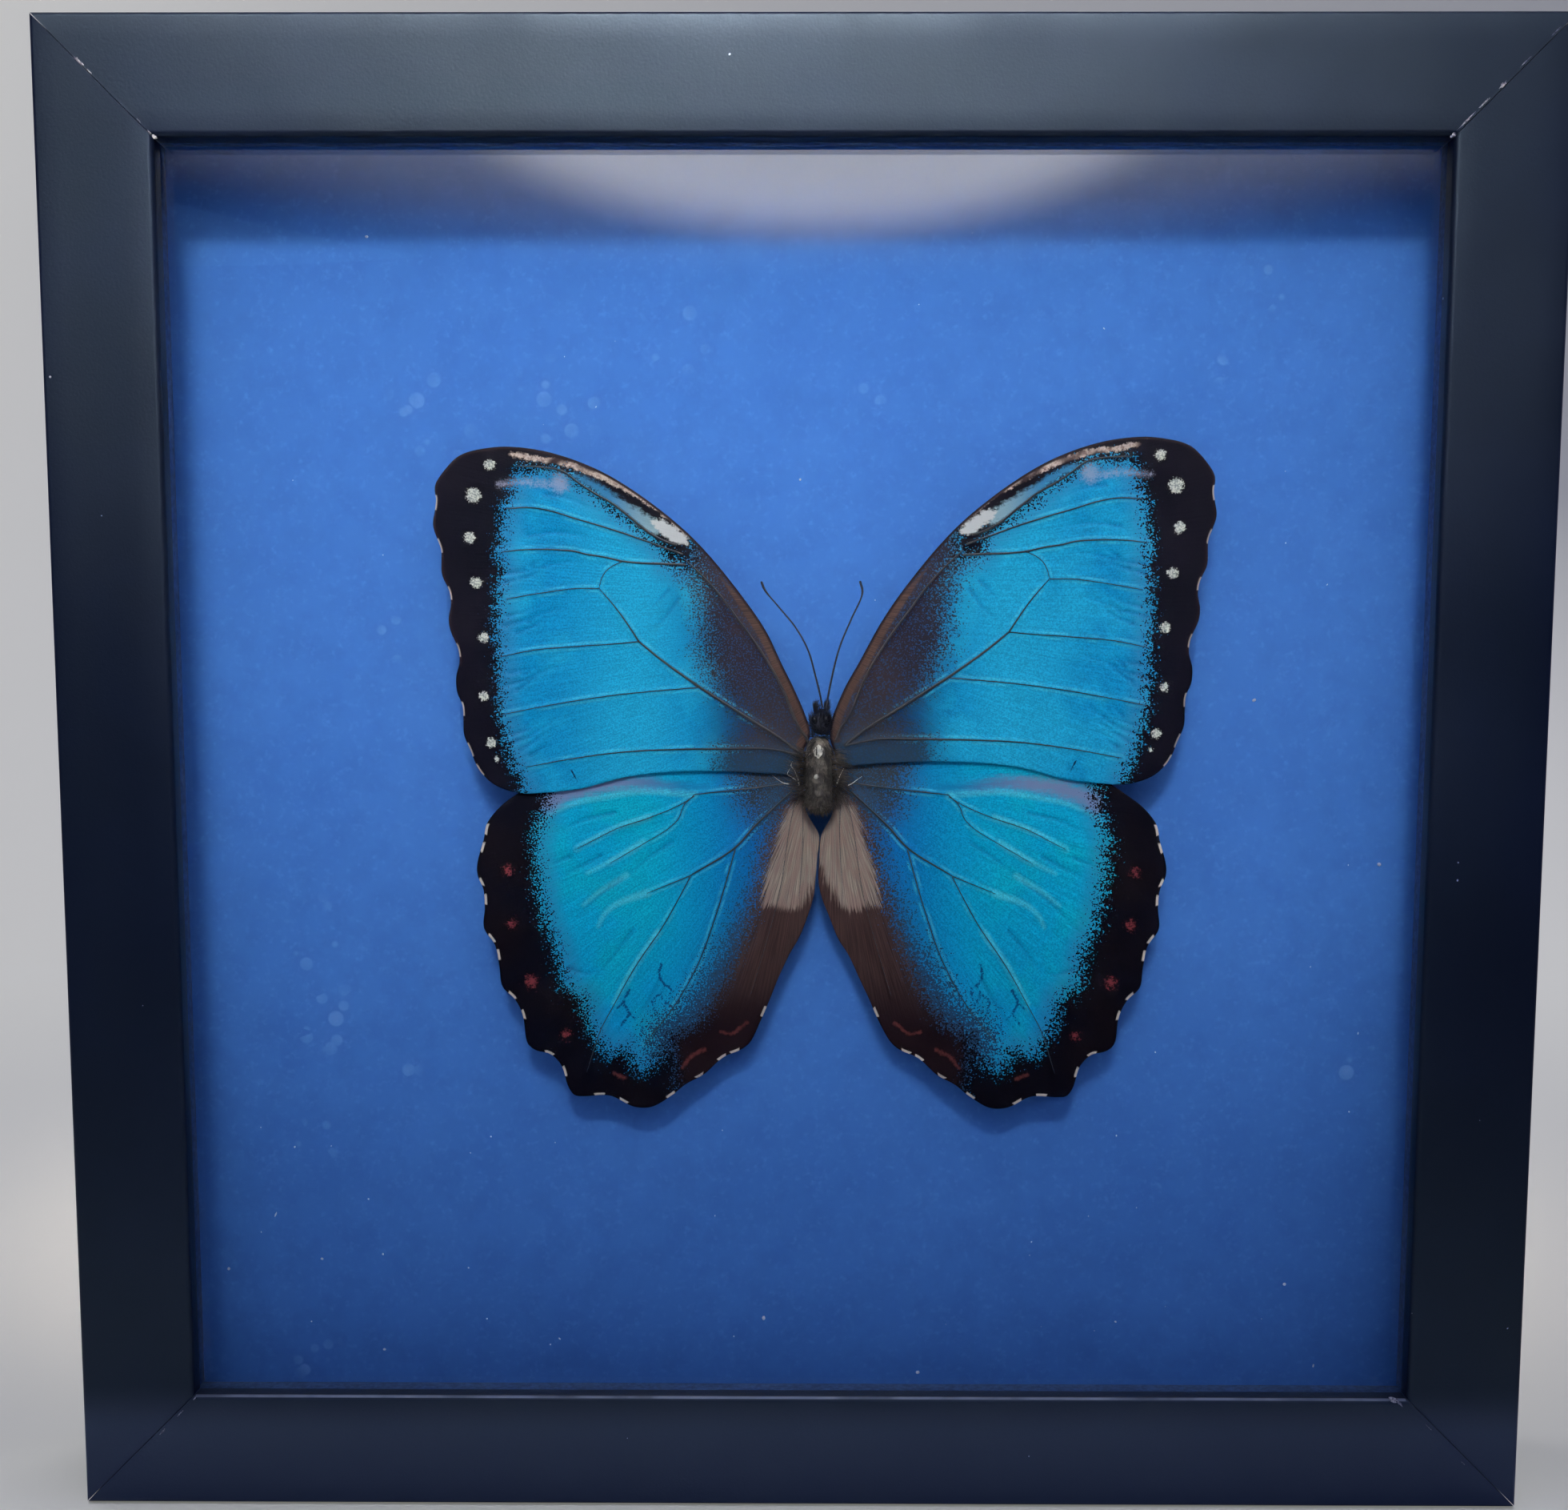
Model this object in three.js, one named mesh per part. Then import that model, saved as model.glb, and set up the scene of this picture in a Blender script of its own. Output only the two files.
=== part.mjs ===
// A butterfly set with its wings spread, closed behind glass in a square box frame.
//
// Row frame: +Z up, front of the frame facing -Y, the wings spread along X. The origin lies
// under the middle of the frame, where its bottom rail stands on a shelf. Millimetres.
// Depths in this file are counted from the front face of the rails.

import * as THREE from "three";

// ---- Driving dimensions of the frame ----
const FRAME_SIDE = 250; // outer width and height
const FRAME_DEPTH = 35; // front face to rear edge
const FACE_WIDTH = 19.5; // width of the face of each rail
const LIP_DEPTH = 3.5; // thickness of the lip that holds the glass
const WALL = 10; // thickness of a rail behind its lip
const MITRE_GAP = 0.1; // each mitred end stands this far back from its corner's diagonal
const OUTER_ROUND = 0.8; // rounding of the outer front edge
const SIGHT_ROUND = 1.0; // rounding of the sight edge
const REAR_CHAMFER = 0.4;
const GAP = 0.3; // clearance between neighbouring pieces

// ---- Driving dimensions of what the rebate holds, from front to back ----
const GLASS = 2;
const SPACER_FRONT = LIP_DEPTH + GAP + GLASS + GAP;
const PAPER_FRONT = 16; // depth of the paper behind the front face
const PAPER = 0.5;
const BOARD = 3;
const SPACER_OPENING = 217.4; // clear width between opposite spacers
const REBATE = FRAME_SIDE - 2 * WALL;
const SHEET = REBATE - 2 * GAP; // glass, paper and board are cut to this square

// ---- Driving dimensions of the fittings on the back ----
const TAB = { width: 9, reach: 12, flange: 6, thickness: 0.6 };
const TAB_OFFSET = 62; // each tab's distance from the middle of its rail
const HANGER = { width: 46, height: 11, thickness: 1, drop: 30, teeth: 9, toothDepth: 1.6 };
const HANGER_SLOT = { width: 26, height: 4.4 };
const RIVET = { radius: 2.2, crown: 1.3, rim: 0.36, height: 0.9, inset: 4.5 };

// ---- Driving dimensions of the butterfly ----
const SPECIMEN = { x: 3.6, z: 127 }; // middle of the thorax
const FOREWING_DEPTH = 9.8; // depth of each wing's middle plane behind the front face
const HINDWING_DEPTH = 10.5;
const WING = 0.4;
const WING_STEPS = { forewing: 220, hindwing: 240 }; // facets round each wing's edge
// The right forewing was set a little higher and further out than the left one.
const RIGHT_FOREWING_SHIFT = { x: 0.6, z: 1.7 };
const RIGHT_HINDWING_SHIFT = { x: 0, z: 0 };

// Wing edges, as [distance out from the middle of the body, height above it], closed smoothly.
// Each wing's own inner end closes the edge that it shares with its mirror image.
const FOREWING_EDGE = [
  [9.5, 24.5], [12.5, 29.0], [19.4, 37.6],
  [24.6, 42.7], [32.8, 48.8], [39.2, 52.3], [47.0, 54.9], [53.7, 55.7], [58.1, 55.3],
  [60.6, 54.7], [62.5, 53.7], [65.7, 49.9], [66.1, 48.6], [65.9, 46.9], [66.1, 45.2],
  [66.5, 42.5], [65.2, 38.4], [65.2, 36.4], [65.1, 34.2], [63.9, 31.4], [63.7, 29.4],
  [64.1, 26.8], [63.9, 25.0], [62.5, 21.4], [62.4, 19.3], [63.0, 16.9], [62.9, 14.3],
  [62.0, 12.0], [61.9, 9.4], [61.8, 6.9], [60.7, 4.2], [59.9, 2.0], [58.4, -0.2],
  [56.2, -1.9], [52.1, -3.1], [47.0, -2.9], [42.2, -2.4], [32.9, -0.1], [23.4, 0.7],
  [14.0, 0.6], [8.0, 0.3],
];
const FOREWING_ROOT = {
  left: [[4.2, 0.4], [3.5, 2.0], [3.1, 4.4], [2.0, 7.0], [2.7, 10.0], [4.7, 14.7], [6.9, 19.1]],
  right: [
    [4.0, 0.0], [2.2, 0.6], [1.6, 2.4], [0.8, 4.9], [1.1, 7.8], [2.2, 10.8], [3.6, 13.9],
    [5.7, 17.6],
  ],
};
const HINDWING_EDGE = [
  [14.0, 3.6], [26.0, 4.8], [38.0, 3.4], [47.0, 0.4],
  [53.0, -3.3], [55.9, -5.5], [58.2, -8.4], [58.8, -11.1], [60.0, -15.4], [60.0, -17.3],
  [59.0, -19.9], [58.8, -23.0], [59.0, -26.6], [57.1, -29.7], [56.4, -33.5], [55.9, -37.0],
  [53.9, -39.1], [52.8, -41.0], [52.3, -42.6], [51.6, -47.1], [50.2, -48.3], [47.6, -49.0],
  [45.7, -51.0], [44.5, -54.8], [43.4, -56.3], [41.9, -56.5], [37.2, -56.4], [32.9, -58.4],
  [29.8, -58.4], [26.2, -56.3], [23.8, -54.4], [20.6, -52.7], [17.2, -49.7], [13.9, -48.2],
  [12.4, -46.9],
];
const HINDWING_ROOT = {
  left: [
    [10.7, -43.4], [9.0, -39.4], [7.5, -35.6], [5.6, -31.5], [3.7, -28.1], [2.0, -23.6],
    [1.2, -20.6], [0.95, -18.0], [0.65, -14.0], [0.4, -10.4], [2.6, -6.2], [3.5, -1.4], [7.0, 1.2],
  ],
  right: [
    [10.4, -43.5], [8.5, -39.2], [6.8, -35.6], [4.9, -31.5], [3.0, -28.5], [1.5, -24.8],
    [0.1, -21.2], [-0.5, -18.2], [-0.3, -14.0], [0.0, -10.4], [1.9, -6.6], [2.6, -1.4], [3.6, 1.4],
    [8.0, 3.6],
  ],
};

// The body was set a little to the left of the wings' middle, more so at the thorax.
const THORAX_OFFSET = -0.5;
const HEAD_OFFSET = -0.2;
// Thorax profile, as [half width, height above the middle of the body], tail to neck.
const THORAX_PROFILE = [
  [0, -6.4], [1.4, -6.2], [2.2, -5.2], [2.6, -3.2], [2.7, -0.6], [2.55, 1.8],
  [2.15, 3.8], [1.6, 5.4], [0.9, 6.6], [0, 6.9],
];
const THORAX_DEPTH_RATIO = 1.25; // the thorax is deeper than it is wide
const HEAD = { width: 3.0, depth: 3.2, height: 3.8, z: 9.2 };
const PALP = { radius: 0.42, length: 1.5, x: 0.95, z: 11.9, lean: 0.12 };
const ANTENNA = { radius: 0.18, sides: 6, steps: 26, depth: 8.4 };
// Antenna paths from the head to the tip, as [x, height] from the middle of the body.
const ANTENNA_LEFT = [
  [0.1, 11.7], [-0.3, 13.7], [-1.1, 16.9], [-2.4, 21.4], [-4.5, 25.2], [-7.4, 28.7], [-9.8, 31.6],
  [-10.4, 33.0],
];
const ANTENNA_RIGHT = [
  [0.8, 11.7], [1.1, 13.9], [1.7, 17.0], [3.0, 22.0], [4.9, 26.6], [6.8, 31.1], [6.4, 33.1],
];
const POST = { width: 4.6, height: 8 }; // block that carries the thorax off the paper

// ---- Materials ----
const foil = { color: 0x14161c, roughness: 0.45, metalness: 0 };
const clear = { color: 0xdfe8ec, roughness: 0.03, metalness: 0 };
const spacerCard = { color: 0x10131c, roughness: 0.8, metalness: 0 };
const bluePaper = { color: 0x2f5fb8, roughness: 0.85, metalness: 0 };
const hardboard = { color: 0x5b4330, roughness: 0.8, metalness: 0 };
const steel = { color: 0x9a9a98, roughness: 0.35, metalness: 0.9 };
const cork = { color: 0xa9835a, roughness: 0.95, metalness: 0 };
const wingScales = { color: 0x1b7fb4, roughness: 0.4, metalness: 0.2 };
const bodyHair = { color: 0x2c2826, roughness: 0.9, metalness: 0 };

const part = new THREE.Group();
const assembly = new THREE.Group();
assembly.position.y = -FRAME_DEPTH / 2;
part.add(assembly);

/** Adds one named mesh to a group. */
function add(name, geometry, look, parent) {
  const mesh = new THREE.Mesh(geometry, new THREE.MeshStandardMaterial(look));
  mesh.name = name;
  parent.add(mesh);
  return mesh;
}

/** A plain box given by its lowest and highest corners. */
function boxBetween(low, high) {
  const size = high.map((value, i) => value - low[i]);
  const centre = high.map((value, i) => (value + low[i]) / 2);
  return new THREE.BoxGeometry(...size).translate(...centre);
}

/** An outline in X and Z, extruded along Y from y0 to y1. */
function plate(outline, y0, y1) {
  const geometry = new THREE.ExtrudeGeometry(outline, {
    depth: y1 - y0,
    bevelEnabled: false,
    curveSegments: 6,
  });
  return geometry.rotateX(Math.PI / 2).translate(0, y1, 0);
}

/** Turns a section drawn as height and depth, extruded along its third axis, to run along -X. */
function layAlong(geometry) {
  const along = new THREE.Vector3(-1, 0, 0);
  const depth = new THREE.Vector3(0, 1, 0);
  const up = new THREE.Vector3(0, 0, 1);
  return geometry.applyMatrix4(new THREE.Matrix4().makeBasis(up, depth, along));
}

/** Calls place(side, group) for the four sides, each group turned from the bottom to its side. */
function onEachSide(place) {
  ["bottom", "left", "top", "right"].forEach((side, turn) => {
    const group = new THREE.Group();
    group.position.z = FRAME_SIDE / 2;
    group.rotation.y = (turn * Math.PI) / 2;
    assembly.add(group);
    place(side, group);
  });
}

// ---- Frame rails ----

/** L-shaped section of a rail: X is the height above the outer edge, Y the depth. */
function railSection() {
  const s = new THREE.Shape();
  s.moveTo(0, OUTER_ROUND);
  s.absarc(OUTER_ROUND, OUTER_ROUND, OUTER_ROUND, Math.PI, 1.5 * Math.PI, false);
  s.lineTo(FACE_WIDTH - SIGHT_ROUND, 0);
  s.absarc(FACE_WIDTH - SIGHT_ROUND, SIGHT_ROUND, SIGHT_ROUND, -0.5 * Math.PI, 0, false);
  s.lineTo(FACE_WIDTH, LIP_DEPTH);
  s.lineTo(WALL, LIP_DEPTH);
  s.lineTo(WALL, FRAME_DEPTH - REAR_CHAMFER);
  s.lineTo(WALL - REAR_CHAMFER, FRAME_DEPTH);
  s.lineTo(REAR_CHAMFER, FRAME_DEPTH);
  s.lineTo(0, FRAME_DEPTH - REAR_CHAMFER);
  return s;
}

/** A mitred rail lying below the frame's centre; its ends follow the diagonals. */
function railGeometry() {
  const geometry = new THREE.ExtrudeGeometry(railSection(), {
    depth: FRAME_SIDE,
    bevelEnabled: false,
    curveSegments: 4,
  });
  layAlong(geometry);
  const position = geometry.attributes.position;
  for (let i = 0; i < position.count; i += 1) {
    const rise = position.getZ(i);
    const end = position.getX(i) > -FRAME_SIDE / 2 ? 1 : -1;
    position.setX(i, end * (FRAME_SIDE / 2 - rise - MITRE_GAP));
    position.setZ(i, rise - FRAME_SIDE / 2);
  }
  geometry.computeVertexNormals();
  return geometry;
}

function addRails() {
  onEachSide((side, group) => add(`rail_${side}`, railGeometry(), foil, group));
}

// ---- Glass, spacers, paper and board ----

function addGlazing() {
  const half = SHEET / 2;
  const middle = FRAME_SIDE / 2;
  const sheet = (y0, y1) => boxBetween([-half, y0, middle - half], [half, y1, middle + half]);
  const boardFront = PAPER_FRONT + PAPER + GAP;
  add("glass_pane", sheet(LIP_DEPTH + GAP, LIP_DEPTH + GAP + GLASS), clear, assembly);
  add("backing_paper", sheet(PAPER_FRONT, PAPER_FRONT + PAPER), bluePaper, assembly);
  add("backing_board", sheet(boardFront, boardFront + BOARD), hardboard, assembly);

  const inner = SPACER_OPENING / 2;
  const y0 = SPACER_FRONT;
  const y1 = PAPER_FRONT - GAP;
  const long = (low, high) => boxBetween([-half, y0, middle + low], [half, y1, middle + high]);
  const short = (low, high) => boxBetween(
    [low, y0, middle - inner + GAP],
    [high, y1, middle + inner - GAP],
  );
  add("spacer_bottom", long(-half, -inner), spacerCard, assembly);
  add("spacer_top", long(inner, half), spacerCard, assembly);
  add("spacer_left", short(-half, -inner), spacerCard, assembly);
  add("spacer_right", short(inner, half), spacerCard, assembly);
}

// ---- Tabs and hanger on the back ----

const BOARD_BACK = PAPER_FRONT + PAPER + GAP + BOARD;

/** A folded tab below the frame's centre: its flange lies on the rail's wall. */
function tabGeometry() {
  const foot = GAP + WALL - FRAME_SIDE / 2;
  const back = BOARD_BACK + GAP;
  const s = new THREE.Shape();
  s.moveTo(foot, back);
  s.lineTo(foot + TAB.reach, back);
  s.lineTo(foot + TAB.reach, back + TAB.thickness);
  s.lineTo(foot + TAB.thickness, back + TAB.thickness);
  s.lineTo(foot + TAB.thickness, back + TAB.flange);
  s.lineTo(foot, back + TAB.flange);
  const geometry = new THREE.ExtrudeGeometry(s, { depth: TAB.width, bevelEnabled: false });
  return layAlong(geometry).translate(TAB.width / 2, 0, 0);
}

function addTabs() {
  onEachSide((side, group) => {
    [-1, 1].forEach((end) => {
      const geometry = tabGeometry().translate(end * TAB_OFFSET, 0, 0);
      add(`tab_${side}_${end < 0 ? 1 : 2}`, geometry, steel, group);
    });
  });
}

/** Outline of the hanger: a bar whose slot has saw teeth along its upper edge. */
function hangerOutline() {
  const halfWidth = HANGER.width / 2;
  const corner = HANGER.height / 2;
  const s = new THREE.Shape();
  s.moveTo(-halfWidth + corner, -corner);
  s.lineTo(halfWidth - corner, -corner);
  s.absarc(halfWidth - corner, 0, corner, -0.5 * Math.PI, 0.5 * Math.PI, false);
  s.lineTo(-halfWidth + corner, corner);
  s.absarc(-halfWidth + corner, 0, corner, 0.5 * Math.PI, 1.5 * Math.PI, false);

  const slot = new THREE.Path();
  const top = HANGER_SLOT.height / 2;
  const step = HANGER_SLOT.width / HANGER.teeth;
  slot.moveTo(-HANGER_SLOT.width / 2, -top);
  slot.lineTo(-HANGER_SLOT.width / 2, top);
  for (let i = 0; i < HANGER.teeth; i += 1) {
    const left = -HANGER_SLOT.width / 2 + i * step;
    slot.lineTo(left + step / 2, top - HANGER.toothDepth);
    slot.lineTo(left + step, top);
  }
  slot.lineTo(HANGER_SLOT.width / 2, -top);
  s.holes.push(slot);
  return s;
}

function addHanger() {
  const z = FRAME_SIDE - HANGER.drop;
  const back = BOARD_BACK + GAP;
  const bar = plate(hangerOutline(), back, back + HANGER.thickness).translate(0, 0, z);
  add("hanger", bar, steel, assembly);
  const seat = back + HANGER.thickness + GAP;
  const profile = [
    [0, 0], [RIVET.radius, 0], [RIVET.radius, RIVET.rim],
    [RIVET.crown, RIVET.height], [0, RIVET.height],
  ].map(([r, h]) => new THREE.Vector2(r, h));
  [-1, 1].forEach((end) => {
    const head = new THREE.LatheGeometry(profile, 16);
    const x = end * (HANGER.width / 2 - RIVET.inset);
    add(`hanger_rivet_${end < 0 ? 1 : 2}`, head.translate(x, seat, z), steel, assembly);
  });
}

// ---- Butterfly ----

/** A wing cut to its edge line; side is -1 for the left wing and 1 for the right one. */
function wingGeometry(edge, steps, depth, side) {
  const points = edge.map(([x, z]) => new THREE.Vector3(side * x, z, 0));
  const line = new THREE.CatmullRomCurve3(points, true, "centripetal").getSpacedPoints(steps);
  line.pop();
  const outline = new THREE.Shape(line.map((p) => new THREE.Vector2(p.x, p.y)));
  return plate(outline, depth - WING / 2, depth + WING / 2);
}

function addWings(body) {
  const pairs = [
    ["forewing", FOREWING_EDGE, FOREWING_ROOT, FOREWING_DEPTH, RIGHT_FOREWING_SHIFT],
    ["hindwing", HINDWING_EDGE, HINDWING_ROOT, HINDWING_DEPTH, RIGHT_HINDWING_SHIFT],
  ];
  pairs.forEach(([name, edge, root, depth, shift]) => {
    const steps = WING_STEPS[name];
    const left = wingGeometry([...edge, ...root.left], steps, depth, -1);
    const right = wingGeometry([...edge, ...root.right], steps, depth, 1);
    add(`${name}_left`, left, wingScales, body);
    add(`${name}_right`, right, wingScales, body).position.set(shift.x, 0, shift.z);
  });
}

function addBody(body) {
  const profile = THORAX_PROFILE.map(([r, z]) => new THREE.Vector2(r, z));
  const thorax = new THREE.LatheGeometry(profile, 20)
    .rotateX(Math.PI / 2)
    .scale(1, THORAX_DEPTH_RATIO, 1)
    .translate(THORAX_OFFSET, FOREWING_DEPTH, 0);
  add("thorax", thorax, bodyHair, body);

  const head = new THREE.SphereGeometry(0.5, 18, 12)
    .rotateX(Math.PI / 2)
    .scale(HEAD.width, HEAD.depth, HEAD.height)
    .translate(HEAD_OFFSET, FOREWING_DEPTH, HEAD.z);
  add("head", head, bodyHair, body);

  [-1, 1].forEach((side) => {
    const palp = new THREE.ConeGeometry(PALP.radius, PALP.length, 10)
      .rotateX(Math.PI / 2)
      .rotateY(side * PALP.lean)
      .translate(HEAD_OFFSET + side * PALP.x, FOREWING_DEPTH, PALP.z);
    add(`palp_${side < 0 ? "left" : "right"}`, palp, bodyHair, body);
  });
}

/** A thin tube along a path given in X and Z. */
function antennaGeometry(path) {
  const points = path.map(([x, z]) => new THREE.Vector3(x, ANTENNA.depth, z));
  const section = new THREE.Shape();
  section.absarc(0, 0, ANTENNA.radius, 0, 2 * Math.PI, false);
  return new THREE.ExtrudeGeometry(section, {
    steps: ANTENNA.steps,
    curveSegments: ANTENNA.sides,
    extrudePath: new THREE.CatmullRomCurve3(points),
  });
}

function addSpecimen() {
  const body = new THREE.Group();
  body.position.set(SPECIMEN.x, 0, SPECIMEN.z);
  assembly.add(body);
  addWings(body);
  addBody(body);
  add("antenna_left", antennaGeometry(ANTENNA_LEFT), bodyHair, body);
  add("antenna_right", antennaGeometry(ANTENNA_RIGHT), bodyHair, body);
  const thoraxHalfWidth = Math.max(...THORAX_PROFILE.map(([halfWidth]) => halfWidth));
  const postFront = FOREWING_DEPTH + THORAX_DEPTH_RATIO * thoraxHalfWidth + GAP;
  add("mounting_post", boxBetween(
    [THORAX_OFFSET - POST.width / 2, postFront, -POST.height / 2],
    [THORAX_OFFSET + POST.width / 2, PAPER_FRONT - GAP, POST.height / 2],
  ), cork, body);
}

addRails();
addGlazing();
addTabs();
addHanger();
addSpecimen();

export default part;
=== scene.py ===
"""A blue butterfly, set with its wings spread behind glass in a square box frame.

The row frame has +Z up and the front of the frame facing -Y. Sizes here are millimetres, and
each mesh is turned into metres as it is made. A wing is drawn in flat coordinates of its own:
the distance out from the middle of the body, and the height above it.
"""

import logging
import math
from collections.abc import Iterable, Sequence
from dataclasses import dataclass
from enum import Enum
from typing import Any

import bpy
import numpy as np
from mathutils import Matrix, Vector, noise
from mathutils.geometry import delaunay_2d_cdt


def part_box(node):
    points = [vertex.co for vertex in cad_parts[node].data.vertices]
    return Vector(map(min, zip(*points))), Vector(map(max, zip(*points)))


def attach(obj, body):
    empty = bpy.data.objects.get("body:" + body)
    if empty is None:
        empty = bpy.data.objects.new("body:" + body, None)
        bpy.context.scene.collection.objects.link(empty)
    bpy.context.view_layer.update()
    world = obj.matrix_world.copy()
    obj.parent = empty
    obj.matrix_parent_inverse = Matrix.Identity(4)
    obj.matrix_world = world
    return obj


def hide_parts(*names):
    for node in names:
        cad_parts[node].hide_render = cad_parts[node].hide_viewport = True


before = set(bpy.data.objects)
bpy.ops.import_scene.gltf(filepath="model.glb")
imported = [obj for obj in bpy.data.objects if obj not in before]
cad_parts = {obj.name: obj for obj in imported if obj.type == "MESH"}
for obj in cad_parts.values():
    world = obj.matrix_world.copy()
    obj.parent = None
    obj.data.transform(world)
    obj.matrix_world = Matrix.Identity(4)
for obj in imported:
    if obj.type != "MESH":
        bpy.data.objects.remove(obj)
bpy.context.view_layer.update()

log = logging.getLogger("butterfly")

MM = 0.001
BODY = "root"
Colour = tuple[float, float, float, float]
Pair = tuple[float, float]


# ---- Colours and materials ----


def paint(red: float, green: float, blue: float) -> Colour:
    """Turns an everyday 0 to 255 colour into the linear one that shaders take.

    Args:
        red: Red, 0 to 255.
        green: Green, 0 to 255.
        blue: Blue, 0 to 255.

    Returns:
        The linear colour, with an alpha of 1.
    """
    low, scale, power = 0.04045, 12.92, 2.4
    parts = [value / 255 for value in (red, green, blue)]
    linear = [v / scale if v <= low else ((v + 0.055) / 1.055) ** power for v in parts]
    return (linear[0], linear[1], linear[2], 1.0)


class Shader:
    """A material's node tree, wired one socket at a time.

    Numbers and colours are set straight on a socket; sockets of other nodes are linked to it.
    """

    def __init__(self, name: str, **surface: Any) -> None:
        """Starts a material with one Principled surface.

        Args:
            name: The material's name.
            **surface: Values of the surface's sockets, with underscores for the spaces.
        """
        self.material = bpy.data.materials.new(name)
        self.material.use_nodes = True
        self.tree = self.material.node_tree
        self.tree.nodes.clear()
        self.surface = self.tree.nodes.new("ShaderNodeBsdfPrincipled")
        self.output = self.tree.nodes.new("ShaderNodeOutputMaterial")
        self.tree.links.new(self.surface.outputs[0], self.output.inputs["Surface"])
        for socket, value in surface.items():
            self.put(self.surface.inputs[socket.replace("_", " ")], value)
        self._place: Any = None

    def put(self, socket: Any, value: Any) -> None:
        """Links a node's output to a socket, or sets a plain value on it."""
        if isinstance(value, bpy.types.NodeSocket):
            self.tree.links.new(value, socket)
        elif value is not None:
            socket.default_value = value

    def node(self, kind: str, inputs: dict[Any, Any] | None = None, **settings: Any) -> Any:
        """Adds a node.

        Args:
            kind: The node's type, without its ShaderNode prefix.
            inputs: Values or sockets for its inputs, by name or number.
            **settings: The node's own properties.

        Returns:
            The node.
        """
        node = self.tree.nodes.new("ShaderNode" + kind)
        for key, value in settings.items():
            setattr(node, key, value)
        for key, value in (inputs or {}).items():
            self.put(node.inputs[key], value)
        return node

    @property
    def place(self) -> Any:
        """The point's own place on the object, in metres."""
        if self._place is None:
            self._place = self.node("TexCoord").outputs["Object"]
        return self._place

    def value(self, name: str) -> Any:
        """The mesh's own number at this point."""
        return self.node("Attribute", attribute_name=name).outputs["Fac"]

    def vector(self, name: str) -> Any:
        """The mesh's own vector at this point."""
        return self.node("Attribute", attribute_name=name).outputs["Vector"]

    def split(self, vector: Any) -> Any:
        """The X, Y and Z of a vector, as three sockets."""
        return self.node("SeparateXYZ", {0: vector}).outputs

    def math(self, operation: str, a: Any, b: Any = None, c: Any = None) -> Any:
        """One step of arithmetic on numbers."""
        return self.node("Math", {0: a, 1: b, 2: c}, operation=operation).outputs[0]

    def times(self, a: Any, b: Any) -> Any:
        """Multiplies two numbers."""
        return self.math("MULTIPLY", a, b)

    def span(self, value: Any, low: float, high: float, out: Pair = (0.0, 1.0)) -> Any:
        """Eases a number from one span into another, and clamps it there."""
        inputs = {0: value, 1: low, 2: high, 3: out[0], 4: out[1]}
        return self.node("MapRange", inputs, interpolation_type="SMOOTHSTEP").outputs[0]

    def scaled(self, vector: Any, scale: Sequence[float], shift: Sequence[float] = (0, 0, 0)) -> Any:
        """Stretches and moves a vector."""
        inputs = {"Vector": vector, "Scale": scale, "Location": shift}
        return self.node("Mapping", inputs).outputs[0]

    def noise(self, scale: float, vector: Any = None, detail: float = 3.0, rough: float = 0.5) -> Any:
        """Soft noise from 0 to 1, gathered round 0.5.

        Args:
            scale: How fine it is.
            vector: The point it is read at, or the piece's own place.
            detail: How many finer layers it has.
            rough: How strong those are.

        Returns:
            The noise.
        """
        inputs = {
            "Vector": self.place if vector is None else vector,
            "Scale": scale,
            "Detail": detail,
            "Roughness": rough,
        }
        return self.node("TexNoise", inputs).outputs["Fac"]

    def cells(self, scale: float, vector: Any = None) -> Any:
        """Round cells: their distance and a chance colour each."""
        inputs = {"Vector": self.place if vector is None else vector, "Scale": scale}
        return self.node("TexVoronoi", inputs).outputs

    def mix(self, factor: Any, a: Any, b: Any, blend: str = "MIX") -> Any:
        """Mixes two colours."""
        node = self.node("Mix", data_type="RGBA", blend_type=blend)
        for index, value in ((0, factor), (6, a), (7, b)):
            self.put(node.inputs[index], value)
        return node.outputs[2]

    def bump(self, height: Any, distance: float, strength: float = 1.0, before: Any = None) -> Any:
        """A bump of a real depth in metres, laid over an earlier one."""
        inputs = {"Height": height, "Distance": distance, "Strength": strength, "Normal": before}
        return self.node("Bump", inputs).outputs[0]

    def done(self, **surface: Any) -> Any:
        """Wires the surface's last sockets.

        Args:
            **surface: Values or sockets, with underscores for the spaces.

        Returns:
            The material.
        """
        for socket, value in surface.items():
            self.put(self.surface.inputs[socket.replace("_", " ")], value)
        return self.material


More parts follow.
